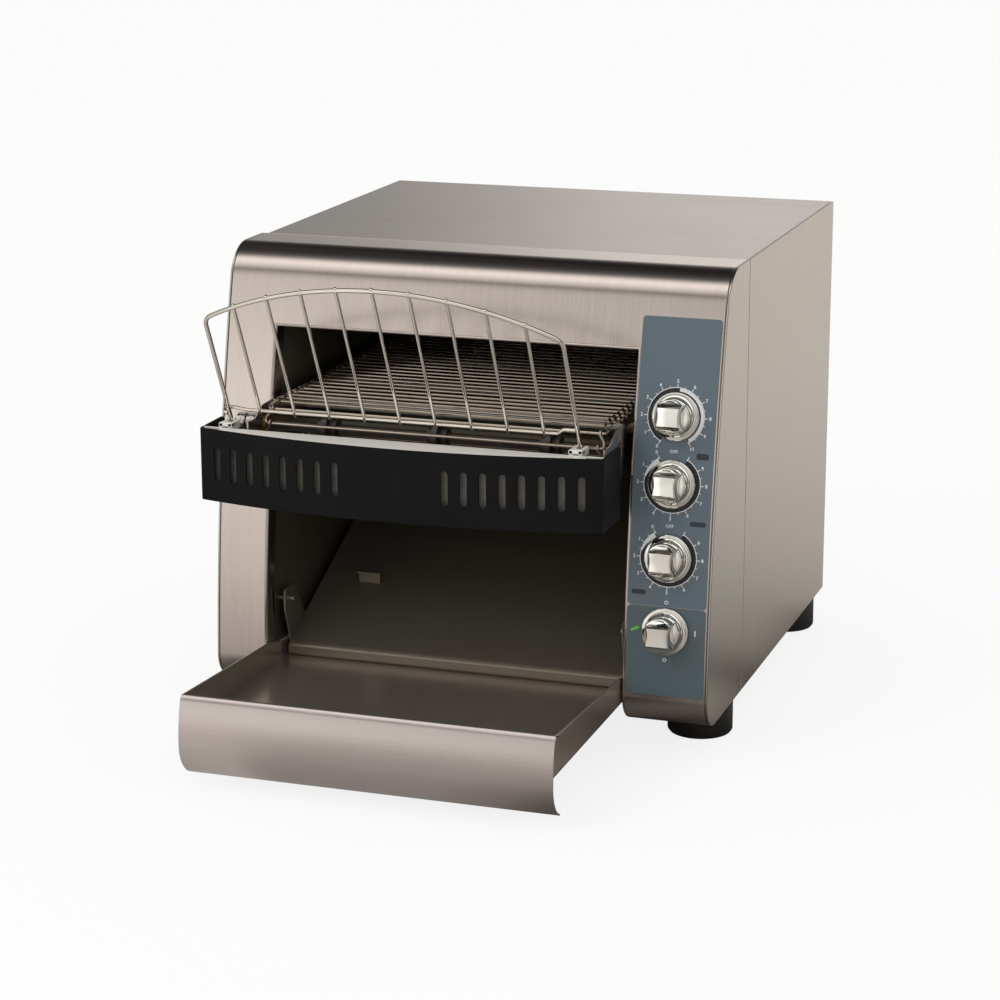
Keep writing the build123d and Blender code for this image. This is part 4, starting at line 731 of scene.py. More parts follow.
for degree in range(20, 181, 20):
    turn = radians(degree)
    cross_line.append((-ARCH_HALF - 3.0 * sin(turn), degree / 200 - 1.6, -3.0 * cos(turn)))
cross_line += [
    (6 - ARCH_HALF, -0.5, 2.4),
    (14 - ARCH_HALF, 0.0, 0.4),
    (joggle - 1.5, 0.0, 0.4),
    (joggle, 0.6, 0.4),
    (joggle + 3.2, 3.6, 0.4),
    (joggle + 5, 4.1, 0.4),
    (ARCH_HALF + 0.8, 4.1, 0.4),
]
wire(arch, [on_arch(u, CROSS_V + v, w) for u, v, w in cross_line], CROSS_WIRE_R)
plated_wire = plain_finish(
    "plated_guard_wire", (0.72, 0.67, 0.60), (0.90, 0.86, 0.79), 1.0, 0.05, size=60.0, uneven=0.06
)
finished("load_guard_wires", arch, plated_wire, ["load_guard"], "load_guard", sharp=50)

CLIP_HALF = 5.0
CLIP_THROAT = 1.9
CLIP_FRONT = -135.5
CLIP_BACK = -146.5
CLIP_FOOT = 225.5
CLIP_TOP = 231.5
CLIP_LID = 231.8
clips = bmesh.new()
for side in (-1, 1):
    x = ARCH_FOOT.x + side * ARCH_HALF
    for low, high in ((x - CLIP_HALF, x - CLIP_THROAT), (x + CLIP_THROAT, x + CLIP_HALF)):
        first, last = (CHANNEL_REAR, CLIP_FOOT), (CLIP_FRONT, CLIP_TOP)
        folded_sheet(clips, first, last, high - low, 0, (high, 1), edge=0.5)
    first, last = (x - CLIP_HALF, CHANNEL_REAR), (x + CLIP_HALF, CLIP_BACK)
    folded_sheet(clips, first, last, 3.0, 2, (CLIP_LID, 1), edge=0.5)
finished("guard_clip_folds", clips, bright_steel, ["guard_clips"])


# ------------------------------------------------------------ conveyor belt
# Sixty-four bent wires of drawn stainless; each one's ends hook over the next
# wire, so that the whole belt folds round the toothed wheels.
BELT_PITCH = 11.0
BELT_TEETH = 10
TOP_RODS = 28
AXLE_Z = 224.2
IDLER_Y = -116.0
DRIVE_Y = IDLER_Y + (TOP_RODS - 1) * BELT_PITCH
BELT_R = BELT_PITCH / (2 * sin(pi / BELT_TEETH))
BELT_WIRE_R = 1.0
HOOK_X = 126.6


def rounded_line(corners, radius, turn_step=15):
    """A line of points with its inner corners rounded off."""
    points = [Vector(corners[0])]
    for before, here, after in zip(corners, corners[1:], corners[2:]):
        here = Vector(here)
        back = (Vector(before) - here).normalized()
        on = (Vector(after) - here).normalized()
        half = back.angle(on) / 2
        reach = min(radius / max(1e-6, sin(half) / cos(half)), 0.49 * (Vector(before) - here).length)
        reach = min(reach, 0.49 * (Vector(after) - here).length)
        r = reach * sin(half) / max(1e-6, cos(half))
        centre = here + (back + on).normalized() * (r / sin(half))
        start = here + back * reach - centre
        end = here + on * reach - centre
        sweep = start.angle(end)
        count = max(1, ceil(degrees(sweep) / turn_step))
        for n in range(count + 1):
            share = n / count
            if sweep < 1e-4:
                points.append(centre + start)
                break
            arm = start * sin((1 - share) * sweep) / sin(sweep) + end * sin(share * sweep) / sin(sweep)
            points.append(centre + arm)
    points.append(Vector(corners[-1]))
    return points


def set_out_tree():
    """Copies of one piece, each at a point and turned as the point says."""
    tree = bpy.data.node_groups.new("pieces_set_out", "GeometryNodeTree")
    face = tree.interface
    face.new_socket("Geometry", in_out="INPUT", socket_type="NodeSocketGeometry")
    face.new_socket("Piece", in_out="INPUT", socket_type="NodeSocketObject")
    face.new_socket("Finish", in_out="INPUT", socket_type="NodeSocketMaterial")
    face.new_socket("Geometry", in_out="OUTPUT", socket_type="NodeSocketGeometry")
    given = tree.nodes.new("NodeGroupInput")
    piece = tree.nodes.new("GeometryNodeObjectInfo")
    turn = tree.nodes.new("GeometryNodeInputNamedAttribute")
    turn.data_type = "FLOAT_VECTOR"
    turn.inputs["Name"].default_value = "turn"
    euler = tree.nodes.new("FunctionNodeEulerToRotation")
    copies = tree.nodes.new("GeometryNodeInstanceOnPoints")
    real = tree.nodes.new("GeometryNodeRealizeInstances")
    finish = tree.nodes.new("GeometryNodeSetMaterial")
    made = tree.nodes.new("NodeGroupOutput")
    for start, end in (
        (given.outputs["Piece"], piece.inputs["Object"]),
        (given.outputs["Geometry"], copies.inputs["Points"]),
        (piece.outputs["Geometry"], copies.inputs["Instance"]),
        (turn.outputs["Attribute"], euler.inputs[0]),
        (euler.outputs[0], copies.inputs["Rotation"]),
        (copies.outputs["Instances"], real.inputs["Geometry"]),
        (real.outputs["Geometry"], finish.inputs["Geometry"]),
        (given.outputs["Finish"], finish.inputs["Material"]),
        (finish.outputs["Geometry"], made.inputs["Geometry"]),
    ):
        tree.links.new(start, end)
    return tree


pieces_set_out = set_out_tree()


def set_out(name, shape, places, paint, nodes):
    """Repeat a shape at places of (x, y, z, turn x, turn y, turn z) as one cabinet piece."""
    pattern = bpy.data.objects.new(f"{name}_one", mesh_of(shape, f"{name}_one", 40))
    points = bpy.data.meshes.new(f"{name}_points")
    points.from_pydata([tuple(c * MM for c in place[:3]) for place in places], [], [])
    turns = points.attributes.new("turn", "FLOAT_VECTOR", "POINT")
    turns.data.foreach_set("vector", [c for place in places for c in place[3:]])
    row = bpy.data.objects.new(f"{name}_points", points)
    bpy.context.scene.collection.objects.link(row)
    repeat = row.modifiers.new("set_out", "NODES")
    repeat.node_group = pieces_set_out
    values = {"Piece": pattern, "Finish": paint}
    for item in pieces_set_out.interface.items_tree:
        if item.in_out == "INPUT" and item.name in values:
            repeat[item.identifier] = values[item.name]
    drawn = row.evaluated_get(bpy.context.evaluated_depsgraph_get())
    mesh = bpy.data.meshes.new_from_object(drawn)
    mesh.name = name
    for spent in (row, pattern):
        bpy.data.objects.remove(spent)
    mesh.materials.clear()
    hand_over(name, mesh, paint, nodes, "cabinet")


hook_side = [(HOOK_X, 0, 0), (HOOK_X, 4.0, 0.3), (HOOK_X - 3.6, 9.0, 1.9)]
curl = [(HOOK_X - 4.0, BELT_PITCH + 2.1 * sin(pi * n / 4), 2.1 * cos(pi * n / 4)) for n in range(5)]
half_strand = hook_side + curl
strand_line = [Vector((-x, y, z)) for x, y, z in reversed(half_strand)] + [Vector(p) for p in half_strand]
strand = bmesh.new()
wire(strand, rounded_line(strand_line, 2.2, 30), BELT_WIRE_R, 8)
belt_line = [(IDLER_Y + n * BELT_PITCH, AXLE_Z + BELT_R) for n in range(TOP_RODS)]
half_turn = BELT_TEETH // 2
for n in range(1, half_turn):
    turn = radians(90 - 180 * n / half_turn)
    belt_line.append((DRIVE_Y + BELT_R * cos(turn), AXLE_Z + BELT_R * sin(turn)))
belt_line += [(DRIVE_Y - n * BELT_PITCH, AXLE_Z - BELT_R) for n in range(TOP_RODS)]
for n in range(1, half_turn):
    turn = radians(-90 - 180 * n / half_turn)
    belt_line.append((IDLER_Y + BELT_R * cos(turn), AXLE_Z + BELT_R * sin(turn)))
strand_places = []
for here, there in zip(belt_line, belt_line[1:] + belt_line[:1]):
    heading = atan2(there[1] - here[1], there[0] - here[0])
    strand_places.append((OPENING_X, *here, heading, 0.0, 0.0))
# Darker than the guard's wire, partly painted shade for the opening the belt runs in, with a random mottle.
belt_wire_painted_shade = plain_finish(
    "drawn_belt_wire_painted_shade",
    (0.34, 0.285, 0.235),
    (0.62, 0.56, 0.49),
    1.0,
    0.14,
    size=45.0,
    detail=4.0,
    uneven=0.16,
)
set_out("conveyor_belt_wires", strand, strand_places, belt_wire_painted_shade, ["conveyor_belt"])


# ---------------------------------------------------------- conveyor rails
# Bent channels that carry the belt's edges and both shafts, stood off the
# liners; the idler's left end carries two collars out to the ledge.
RAIL_TOP = 240.7
RAIL_BOTTOM = 203.8
RAIL_FRONT = -151.7
RAIL_REAR = 205.0
NOSE_TOP = 233.5
RAIL_BEND = 2.5
RAIL_OUT = 133.0
RAIL_CORNER = 9.0
FLANGE_FRONT = IDLER_Y + 14
FLANGE_REAR = DRIVE_Y - 8
rail_steel = brushed("rail_steel_rolled", (0.58, 0.54, 0.49), (400.0, 60.0, 900.0), rough=0.2)
for name, web, turn in (("left", OPENING_X - RAIL_OUT, 1), ("right", OPENING_X + RAIL_OUT, -1)):
    rail = bmesh.new()
    corner = [(RAIL_CORNER * (1 - cos(t)), RAIL_CORNER * (1 - sin(t))) for t in QUARTER]
    top = [(RAIL_REAR - back, RAIL_TOP - drop) for back, drop in corner]
    foot = [(RAIL_REAR - back, RAIL_BOTTOM + climb) for climb, back in corner]
    web_outline = [(RAIL_FRONT, RAIL_BOTTOM), (FLANGE_FRONT, RAIL_BOTTOM)]
    web_outline += [(FLANGE_FRONT, RAIL_BOTTOM + RAIL_BEND), (FLANGE_REAR, RAIL_BOTTOM + RAIL_BEND)]
    web_outline += [(FLANGE_REAR, RAIL_BOTTOM)] + foot + top + [(FLANGE_REAR, RAIL_TOP)]
    web_outline += [(FLANGE_REAR, RAIL_TOP - RAIL_BEND), (FLANGE_FRONT, RAIL_TOP - RAIL_BEND)]
    web_outline += [(FLANGE_FRONT, RAIL_TOP), (IDLER_Y - 8, RAIL_TOP)]
    web_outline += [(IDLER_Y - 22, NOSE_TOP), (RAIL_FRONT, NOSE_TOP)]

    def on_web(y, z, depth, web=web, turn=turn):
        return Vector((web + turn * depth, y, z))

    shaft_holes = [circle_hole(y, AXLE_Z, 6.6, 24) for y in (IDLER_Y, DRIVE_Y)]
    tube_holes = [circle_hole(y, AXLE_Z, 4.6, 16) for y in (-40, 40, 120)]
    sheet(rail, web_outline, shaft_holes + tube_holes, SHEET, on_web, edge=0.3)
    for edge_z, up in ((RAIL_TOP, 1), (RAIL_BOTTOM, -1)):
        section = [(RAIL_BEND * (1 - cos(t)), RAIL_BEND * (1 - sin(t))) for t in QUARTER]
        section += [(9.7, 0.0), (10.0, 0.3), (10.0, 0.9), (9.7, SHEET)]
        inner = RAIL_BEND - SHEET
        section += [(RAIL_BEND - inner * sin(t), RAIL_BEND - inner * cos(t)) for t in QUARTER]
        ends = []
        for y in (FLANGE_FRONT, FLANGE_REAR):
            ends.append([Vector((web + turn * x, y, edge_z - up * z)) for x, z in section])
        loft(rail, ends)
    finished(f"conveyor_rail_{name}_channel", rail, rail_steel, [f"conveyor_rail_{name}"])


def turned(shape, line, origin, axis, sides=40):
    """Turn a closed line of (radius, way along the axis) into a solid."""
    along = Vector(axis).normalized()
    first = along.orthogonal().normalized()
    second = along.cross(first)
    spokes = [first * cos(2 * pi * k / sides) + second * sin(2 * pi * k / sides) for k in range(sides)]
    rings = []
    for radius, way in line:
        centre = Vector(origin) + along * way
        rings.append([centre + spoke * radius for spoke in spokes])
    loft(shape, rings)


plated = plain_finish(
    "bright_zinc_plate", (0.50, 0.48, 0.46), (0.66, 0.64, 0.61), 1.0, 0.2, size=110.0, uneven=0.15
)
RAIL_LEFT = OPENING_X - RAIL_OUT
collars = bmesh.new()
for start in (RAIL_LEFT - 14, RAIL_LEFT - 21.7):
    ring = [(4.05, 0.0), (6.9, 0.0), (7.5, 0.6), (7.5, 6.4), (6.9, 7.0), (4.05, 7.0)]
    turned(collars, ring, (start, IDLER_Y, AXLE_Z), (1, 0, 0), 40)
    grub_screw = [(1.6, 0.0), (1.6, 0.5), (1.2, 0.7)]
    turned(collars, grub_screw, (start + 3.5, IDLER_Y - 4.6, AXLE_Z + 5.6), (0, -0.63, 0.77), 12)
finished("idler_collar_rings", collars, plated, ["idler_collars"], "idler_axle")
idler = bmesh.new()
idler_line = [(3.3, 0.0), (4.0, 0.7), (4.0, 288.9), (3.3, 289.8)]
turned(idler, idler_line, (RAIL_LEFT - 24, IDLER_Y, AXLE_Z), (1, 0, 0), 32)
# Near-black steel for the idler shaft and the belt wheels: painted shade for the shadow they sit in.
dark_steel_painted_shade = plain_finish(
    "dark_steel_for_painted_shade", (0.060, 0.052, 0.045), (0.110, 0.098, 0.086), 0.9, 0.36, size=90.0
)
finished("idler_shaft_bar", idler, dark_steel_painted_shade, ["idler_shaft"], "idler_axle")
bushes = bmesh.new()
for y, hole in ((IDLER_Y, 4.05), (DRIVE_Y, 4.8)):
    ring = [(hole, 0.0), (6.5, 0.0), (6.5, 1.2), (8.2, 1.2), (8.5, 1.5), (8.5, 2.1), (8.2, 2.4), (hole, 2.4)]
    for turn in (1, -1):
        turned(bushes, ring, (OPENING_X - turn * RAIL_OUT, y, AXLE_Z), (turn, 0, 0), 32)
bronze = plain_finish(
    "sintered_bronze", (0.32, 0.19, 0.08), (0.46, 0.29, 0.13), 1.0, 0.34, size=600.0, detail=2.0, uneven=0.1
)
finished("shaft_bush_rings", bushes, bronze, ["shaft_bushes"])


# ------------------------------------------------------------ product tray
# A stainless tray pulled out to the front: a flat floor, two tapering side
# walls, and a bellied front with a folded rim and a lip curled under.
TRAY_FRONT = -275.4
TRAY_REAR = 40.0
TRAY_FLOOR = 39.0
TRAY_RIM = 66.7
TRAY_FACE_R = 100.0
TRAY_LIP_R = 27.0
TRAY_LIP_TURN = radians(65.7)
TRAY_BELLY = 32.0
HEM_R = 0.9
TRAY_LEFT = OPENING_LEFT + 0.8
TRAY_RIGHT = OPENING_RIGHT - 0.8


def bent_place(line):
    """Where a flat pattern goes when its second axis follows a line in Y and Z."""
    points = [Vector(point) for point in line]
    runs = [0.0]
    for before, here in zip(points, points[1:]):
        runs.append(runs[-1] + (here - before).length)
    headings = [(here - before).normalized() for before, here in zip(points, points[1:])]
    normals = []
    for n in range(len(points)):
        mean = headings[max(0, n - 1)] + headings[min(n, len(headings) - 1)]
        mean.normalize()
        stretch = 1 / max(0.4, mean.dot(headings[min(n, len(headings) - 1)]))
        normals.append(Vector((-mean.y, mean.x)) * stretch)

    def place(x, run, depth):
        n = min(len(runs) - 2, max(0, int(np.searchsorted(runs, run, side="right")) - 1))
        share = (run - runs[n]) / (runs[n + 1] - runs[n])
        point = points[n].lerp(points[n + 1], share) + normals[n].lerp(normals[n + 1], share) * depth
        return Vector((x, point.x, point.y))

    return place, runs


def bent_sheet(shape, line, left, right, thick, edge=0.25):
    """A sheet bent along a line in Y and Z; its thickness is on the line's left."""
    place, runs = bent_place(line)
    outline = [(left, 0.0), (right, 0.0), (right, runs[-1]), (left, runs[-1])]
    sheet(shape, outline, [], thick, place, along=runs[1:-1], edge=edge)


face_turn = asin((TRAY_RIM - TRAY_BELLY) / TRAY_FACE_R)
face_line = []
face_turns = [(TRAY_FACE_R, pi - face_turn * (1 - n / 16)) for n in range(17)]
face_turns += [(TRAY_LIP_R, pi + TRAY_LIP_TURN * n / 18) for n in range(1, 19)]
for radius, turn in face_turns:
    face_line.append((TRAY_FRONT + radius + radius * cos(turn), TRAY_BELLY + radius * sin(turn)))
rim_y = face_line[0][0]
rim = [(rim_y + 7.0, TRAY_RIM - 1.6)]
for turn in (radians(30), 0.0, radians(-30), radians(-60)):
    rim.append((rim_y + 2.0 + 1.2 * sin(turn), TRAY_RIM - 1.3 + 1.3 * cos(turn)))
tray = bmesh.new()
bent_sheet(tray, rim + [(y, z) for y, z in face_line[1:]], TRAY_LEFT, TRAY_RIGHT, SHEET, edge=0.3)
tray_face_steel = brushed(
    "steel_lines_across_tray", (0.55, 0.495, 0.485), (45.0, 1200.0, 1500.0), rough=0.26
)
finished("product_tray_face", tray, tray_face_steel, ["product_tray"], "product_tray")

pan = bmesh.new()
pan_front = TRAY_FRONT + SHEET + 0.3
folded_sheet(pan, (TRAY_LEFT, pan_front), (TRAY_RIGHT, TRAY_REAR), SHEET, 2, (TRAY_FLOOR + SHEET, 1))
wall_outline = [
    (pan_front, TRAY_FLOOR),
    (TRAY_REAR, TRAY_FLOOR),
    (TRAY_REAR, 49.0),
    (-80.0, 49.0),
    (-117.0, 58.0),
    (rim_y + 1.6, TRAY_RIM - 0.4),
]
wall_outline += [(y + SHEET + 0.2, z) for y, z in face_line[3:16] if z > TRAY_FLOOR + 1]
for x, side in ((TRAY_LEFT, 1), (TRAY_RIGHT, -1)):

    def on_wall(y, z, depth, x=x, side=side):
        return Vector((x + side * depth, y, z))

    sheet(pan, wall_outline, [], SHEET, on_wall, edge=0.3)
    hem_line = [(rim_y + 2.4, 65.9), (-117, 57.6), (-80, 48.8), (TRAY_REAR - 1, 48.8)]
    wire(pan, [(x + side * HEM_R, y, z) for y, z in hem_line], HEM_R, 10)
# Darker and warmer than the tray's front: painted shade on the tray's floor and walls.
tray_pan_steel_painted_shade = brushed(
    "steel_inside_tray_painted_shade", (0.50, 0.44, 0.385), (300.0, 40.0, 900.0), rough=0.24, metal=0.8
)
finished("product_tray_pan", pan, tray_pan_steel_painted_shade, [], "product_tray")


# ------------------------------------------------------------- toast chute
# A stainless slide under the belt: it turns toast from the rear wall down to
# a hemmed lip over the tray, and hangs by two ears on the liner pins.
CHUTE_LEFT = TRAY_LEFT + 4.2
CHUTE_RIGHT = TRAY_RIGHT - 4.2
CHUTE_FRONT = -86.0
CHUTE_LIP_Z = 48.5
CHUTE_SLOPE = radians(24.0)
CHUTE_REAR = 236.7
CHUTE_R = 60.0
CHUTE_TOP = 250.0
PIN_Y = -86.0
PIN_Z = 84.0
slide_y = CHUTE_REAR - CHUTE_R + CHUTE_R * sin(CHUTE_SLOPE)
slide_z = CHUTE_LIP_Z + (slide_y - CHUTE_FRONT) * tan(CHUTE_SLOPE)
chute_corners = [(-83.9, 41.2), (-86.6, 41.2), (-87.4, 42.6), (-87.2, 47.9), (-84.6, 49.6)]
chute_corners.append((slide_y, slide_z + 0.5))
chute_line = rounded_line(chute_corners, 1.3, 20)
for n in range(1, 15):
    turn = CHUTE_SLOPE + (pi / 2 - CHUTE_SLOPE) * n / 14
    rise = CHUTE_R * (cos(CHUTE_SLOPE) - cos(turn))
    chute_line.append((CHUTE_REAR - CHUTE_R + CHUTE_R * sin(turn), slide_z + rise))
chute_line.append((CHUTE_REAR, CHUTE_TOP))
chute = bmesh.new()
bent_sheet(chute, chute_line, CHUTE_LEFT, CHUTE_RIGHT, SHEET)
for x, side in ((CHUTE_LEFT, 1), (CHUTE_RIGHT, -1)):

    def on_ear(y, z, depth, x=x, side=side):
        return Vector((x + side * depth, y, z))

    ear = [(-86.0, 50.0), (-56.0, 63.5), (-77.0, 93.0), (-93.5, 93.0), (-95.0, 91.5), (-95.0, 76.0)]
    sheet(chute, ear, [circle_hole(PIN_Y, PIN_Z, 1.9, 16)], SHEET, on_ear, edge=0.3)
    wire(chute, [(x + side * 0.6, -95.0, z) for z in (76.0, 92.0)], HEM_R, 10)
bent_sheet(chute, rounded_line([(-17.4, 79.5), (-17.4, 90.0), (-24.0, 90.0)], 1.6, 20), -113.0, -96.0, 1.0)
# Far darker than the other stainless: painted shade for the slide's place under the belt.
chute_steel_painted_shade = brushed(
    "steel_lines_across_chute_painted_shade",
    (0.27, 0.24, 0.195),
    (40.0, 900.0, 900.0),
    rough=0.34,
    lines=0.000008,
    contrast=0.05,
    metal=0.75,
)
finished("toast_chute_slide", chute, chute_steel_painted_shade, ["toast_chute"])

pins = bmesh.new()
for wall_x, turn in ((-149.8, 1), (126.8, -1)):
    stem = [(1.75, 0.0), (1.75, 12.2), (1.3, 12.7)]
    head = [(2.9, 0.0), (3.5, 0.5), (3.5, 2.0)]
    turned(pins, stem, (wall_x - turn * 1.2, PIN_Y, PIN_Z), (turn, 0, 0), 20)
    turned(pins, head, (wall_x - turn * 3.2, PIN_Y, PIN_Z), (turn, 0, 0), 24)
finished("chute_pin_rods", pins, plated, ["chute_pins"])


# ---------------------------------------------------------- control labels
# Two blue-grey printed films on the right pillar, split above the power
# switch, with plain dial rings, figures and switch marks printed on them.
LABEL_LEFT = 127.6
LABEL_RIGHT = 184.8
LABEL_LIFT = 0.05
LABEL_THICK = 0.5
KNOB_X = 156.0
KNOB_ZS = {"speed": 246.5, "top_heat": 200.0, "bottom_heat": 148.0, "power": 96.0}


def rounded_patch(left, right, low, high, radius):
    """A rectangle with rounded corners, run anticlockwise, with runs falling as heights rise."""
    patch = []
    for x, y, first in ((right, high, 0), (left, high, 90), (left, low, 180), (right, low, 270)):
        cx = x - radius if x == right else x + radius
        cy = y - radius if y == high else y + radius
        for n in range(5):
            turn = radians(first + 22.5 * n)
            patch.append((cx + radius * cos(turn), cy + radius * sin(turn)))
    return patch


def film_paint(name, tone, shade):
    """A printed film with fine flecks and a slow haze."""
    place, surface, paint = open_paint(name)
    fleck = place.node("ShaderNodeTexNoise", None, {"Vector": place, "Scale": 500.0, "Detail": 2.0})
    haze = place.node("ShaderNodeTexNoise", None, {"Vector": place, "Scale": 20.0, "Detail": 2.0})
    feed(
        surface,
        Base_Color=tinted(fleck * 0.5 + haze * 0.5, shade, tone),
        Roughness=0.36 + haze * 0.1,
    )
    return paint


upper_film = film_paint("label_film_upper", (0.122, 0.172, 0.212), (0.104, 0.148, 0.184))
lower_film = film_paint("label_film_lower", (0.098, 0.136, 0.156), (0.084, 0.118, 0.136))


def on_label(x, run, depth):
    return on_casing(x, run, depth - LABEL_LIFT - LABEL_THICK)


for name, low, high, paint in (
    ("control_label_upper", 113.4, 314.0, upper_film),
    ("control_label_lower", 49.0, 113.0, lower_film),
):
    label = bmesh.new()
    runs = (run_at(high), run_at(low))
    patch = rounded_patch(LABEL_LEFT, LABEL_RIGHT, runs[0], runs[1], 2.5)
    folds = [run for run in skin_folds if runs[0] < run < runs[1]]
    sheet(label, patch, [], LABEL_THICK, on_label, along=folds, edge=0.1)
    replaced = ["control_labels"] if name.endswith("upper") else []
    finished(name, label, paint, replaced)


def ink(name, tone, shade):
    """A printing ink, worn a little between two tones."""
    return plain_finish(name, shade, tone, 0.0, 0.45, size=300.0, detail=2.0, uneven=0.1)


white_ink = ink("white_print", (0.88, 0.90, 0.92), (0.80, 0.83, 0.86))
dark_ink = ink("dark_print", (0.012, 0.014, 0.017), (0.008, 0.009, 0.011))
grey_ink = ink("grey_print", (0.030, 0.036, 0.042), (0.024, 0.028, 0.034))
green_ink = ink("green_print", (0.10, 0.42, 0.04), (0.07, 0.34, 0.03))


PRINT_LIFT = 0.03
FONT_SIZE = 1.38


def printed(shape, x, z, flat, faces, lift=PRINT_LIFT):
    """Lay flat artwork of points about a dial's centre on to the label."""
    run = run_at(z)
    points = []
    for u, v in flat:
        points.append(on_casing(x + u, run - v, -LABEL_LIFT - LABEL_THICK - lift))
    corners = [shape.verts.new(point) for point in points]
    for face in faces:
        side = shape.faces.new([corners[n] for n in face])
        side.normal_update()
        if side.normal.y > 0:
            side.normal_flip()


def arc_band(shape, x, z, inner, outer, start, end, lift=PRINT_LIFT):
    """A printed band between two clock angles; each radius is a number or a pair."""
    count = max(1, ceil(abs(end - start) / 4))
    flat = []
    for n in range(count + 1):
        share = n / count
        turn = radians(start + (end - start) * share)
        for radius in (inner, outer):
            r = radius if isinstance(radius, float) else radius[0] + (radius[1] - radius[0]) * share
            flat.append((r * sin(turn), r * cos(turn)))
    faces = [(2 * n, 2 * n + 1, 2 * n + 3, 2 * n + 2) for n in range(count)]
    printed(shape, x, z, flat, faces, lift)


def stroke(shape, x, z, start, end, width, lift=PRINT_LIFT):
    """A straight printed line."""
    a, b = Vector(start), Vector(end)
    side = Vector((a.y - b.y, b.x - a.x)).normalized() * width / 2
    printed(shape, x, z, [a + side, b + side, b - side, a - side], [(0, 1, 2, 3)], lift)


def lettered(shape, x, z, text, u, v, height):
    """Figures or letters, centred on a point of the dial."""
    words = bpy.data.curves.new("figures", "FONT")
    words.body = text
    words.size = height * FONT_SIZE
    words.offset = height * (0.03 if len(text) == 1 else 0.012)
    words.align_x = "CENTER"
    words.align_y = "CENTER"
    words.resolution_u = 3
    carrier = bpy.data.objects.new("figures", words)
    bpy.context.scene.collection.objects.link(carrier)
    mesh = bpy.data.meshes.new_from_object(carrier.evaluated_get(bpy.context.evaluated_depsgraph_get()))
    flat = [(u + corner.co.x, v + corner.co.y) for corner in mesh.vertices]
    printed(shape, x, z, flat, [tuple(face.vertices) for face in mesh.polygons])
    bpy.data.objects.remove(carrier)
    bpy.data.curves.remove(words)
    bpy.data.meshes.remove(mesh)


RING_R = 20.4
RING_LINE = 0.54
MARK_END = 22.9
HALF_MARK_END = 21.9
FIGURE_R = 24.7
TEN_R = 25.2
PILLS = [
    ("top_heat", 20.9, 20.6, 9.0, 4.4),
    ("bottom_heat", 20.2, 25.6, 11.6, 3.4),
    ("bottom_heat", -20.4, -25.4, 10.6, 3.4),
]
PILL_CORNER = 1.6


def clock_way(degree):
    """The direction of a clock angle on a dial."""
    return Vector((sin(radians(degree)), cos(radians(degree))))


white = bmesh.new()
dark = bmesh.new()
grey = bmesh.new()
green = bmesh.new()
for dial, z in KNOB_ZS.items():
    if dial == "power":
        continue
    speed = dial == "speed"
    first, last = (-150.0, 150.0) if speed else (30.0, 330.0)
    arc_band(dark, KNOB_X, z, 13.0, 20.2, first, last, 0.02)
    arc_band(white, KNOB_X, z, RING_R - RING_LINE / 2, RING_R + RING_LINE / 2, first, last)
    marks = [-150 + 30 * n for n in range(11)] if speed else [-30 - 30 * n for n in range(10)]
    for figure, angle in enumerate(marks):
        way = clock_way(angle)
        stroke(white, KNOB_X, z, way * (RING_R + 0.1), way * MARK_END, 0.55)
        reach = FIGURE_R if figure < 10 else TEN_R
        lettered(white, KNOB_X, z, str(figure), way.x * reach, way.y * reach, 2.5)
    for before, after in zip(marks, marks[1:]):
        way = clock_way((before + after) / 2)
        stroke(white, KNOB_X, z, way * (RING_R + 0.1), way * HALF_MARK_END, 0.45)
    for end in (first, last):
        way = clock_way(end)
        stroke(white, KNOB_X, z, way * 19.4, way * MARK_END, 0.55)
    if speed:
        arc_band(white, KNOB_X, z, 17.9, 20.0, 5.0, 148.0, 0.04)
    else:
        arc_band(white, KNOB_X, z, (19.6, 16.5), 20.2, -78.0, -33.0, 0.04)
        lettered(white, KNOB_X, z, "OFF", 0, 22.6, 2.4)
for dial, across, along, long, tall in PILLS:
    line = []
    for n in range(32):
        turn = 2 * pi * (n + 0.5) / 32
        reach = copysign(long / 2 - PILL_CORNER, cos(turn)) + PILL_CORNER * cos(turn)
        climb = copysign(tall / 2 - PILL_CORNER, sin(turn)) + PILL_CORNER * sin(turn)
        line.append((across + reach, along + climb))
    printed(grey, KNOB_X, KNOB_ZS[dial], line, [tuple(range(32))])
power_z = KNOB_ZS["power"]
for mark, u, v, height in (("O", 0, 20.6, 2.7), ("O", 0, -20.8, 2.7), ("I", 21.6, 0, 4.2)):
    lettered(white, KNOB_X, power_z, mark, u, v, height)
leaf = []
for shares, swell in (([n / 12 for n in range(13)], 2.0), ([1 - n / 12 for n in range(1, 12)], -1.6)):
    for share in shares:
        leaf.append((7.4 * share - 25.6, 3.2 * share - 1.3 + swell * max(0.0, sin(pi * share)) ** 0.8))
printed(green, KNOB_X, power_z, leaf, [tuple(range(len(leaf)))])
stroke(white, KNOB_X, power_z, (-25.2, -1.1), (-19.6, 1.3), 0.22, 0.05)
for name, shape, paint in (
    ("label_print_white", white, white_ink),
    ("label_print_dark", dark, dark_ink),
    ("label_print_grey", grey, grey_ink),
    ("label_print_green", green, green_ink),
):
    finished(name, shape, paint)


# ------------------------------------------------------------------- knobs
# Moulded and chromium-plated: a dished skirt, a low round hub and a waisted
# bar grip whose ends fall away from its flat face.
GRIP_HALF = 8.8
GRIP_END_R = 12.5
WAIST_R = 31.0
WAIST_DEPTH = 1.0
CREASE = 6.4
KNOB_HEIGHT = 24.0
GRIP_DROP = 6.2
GRIP_FOOT = 5.0
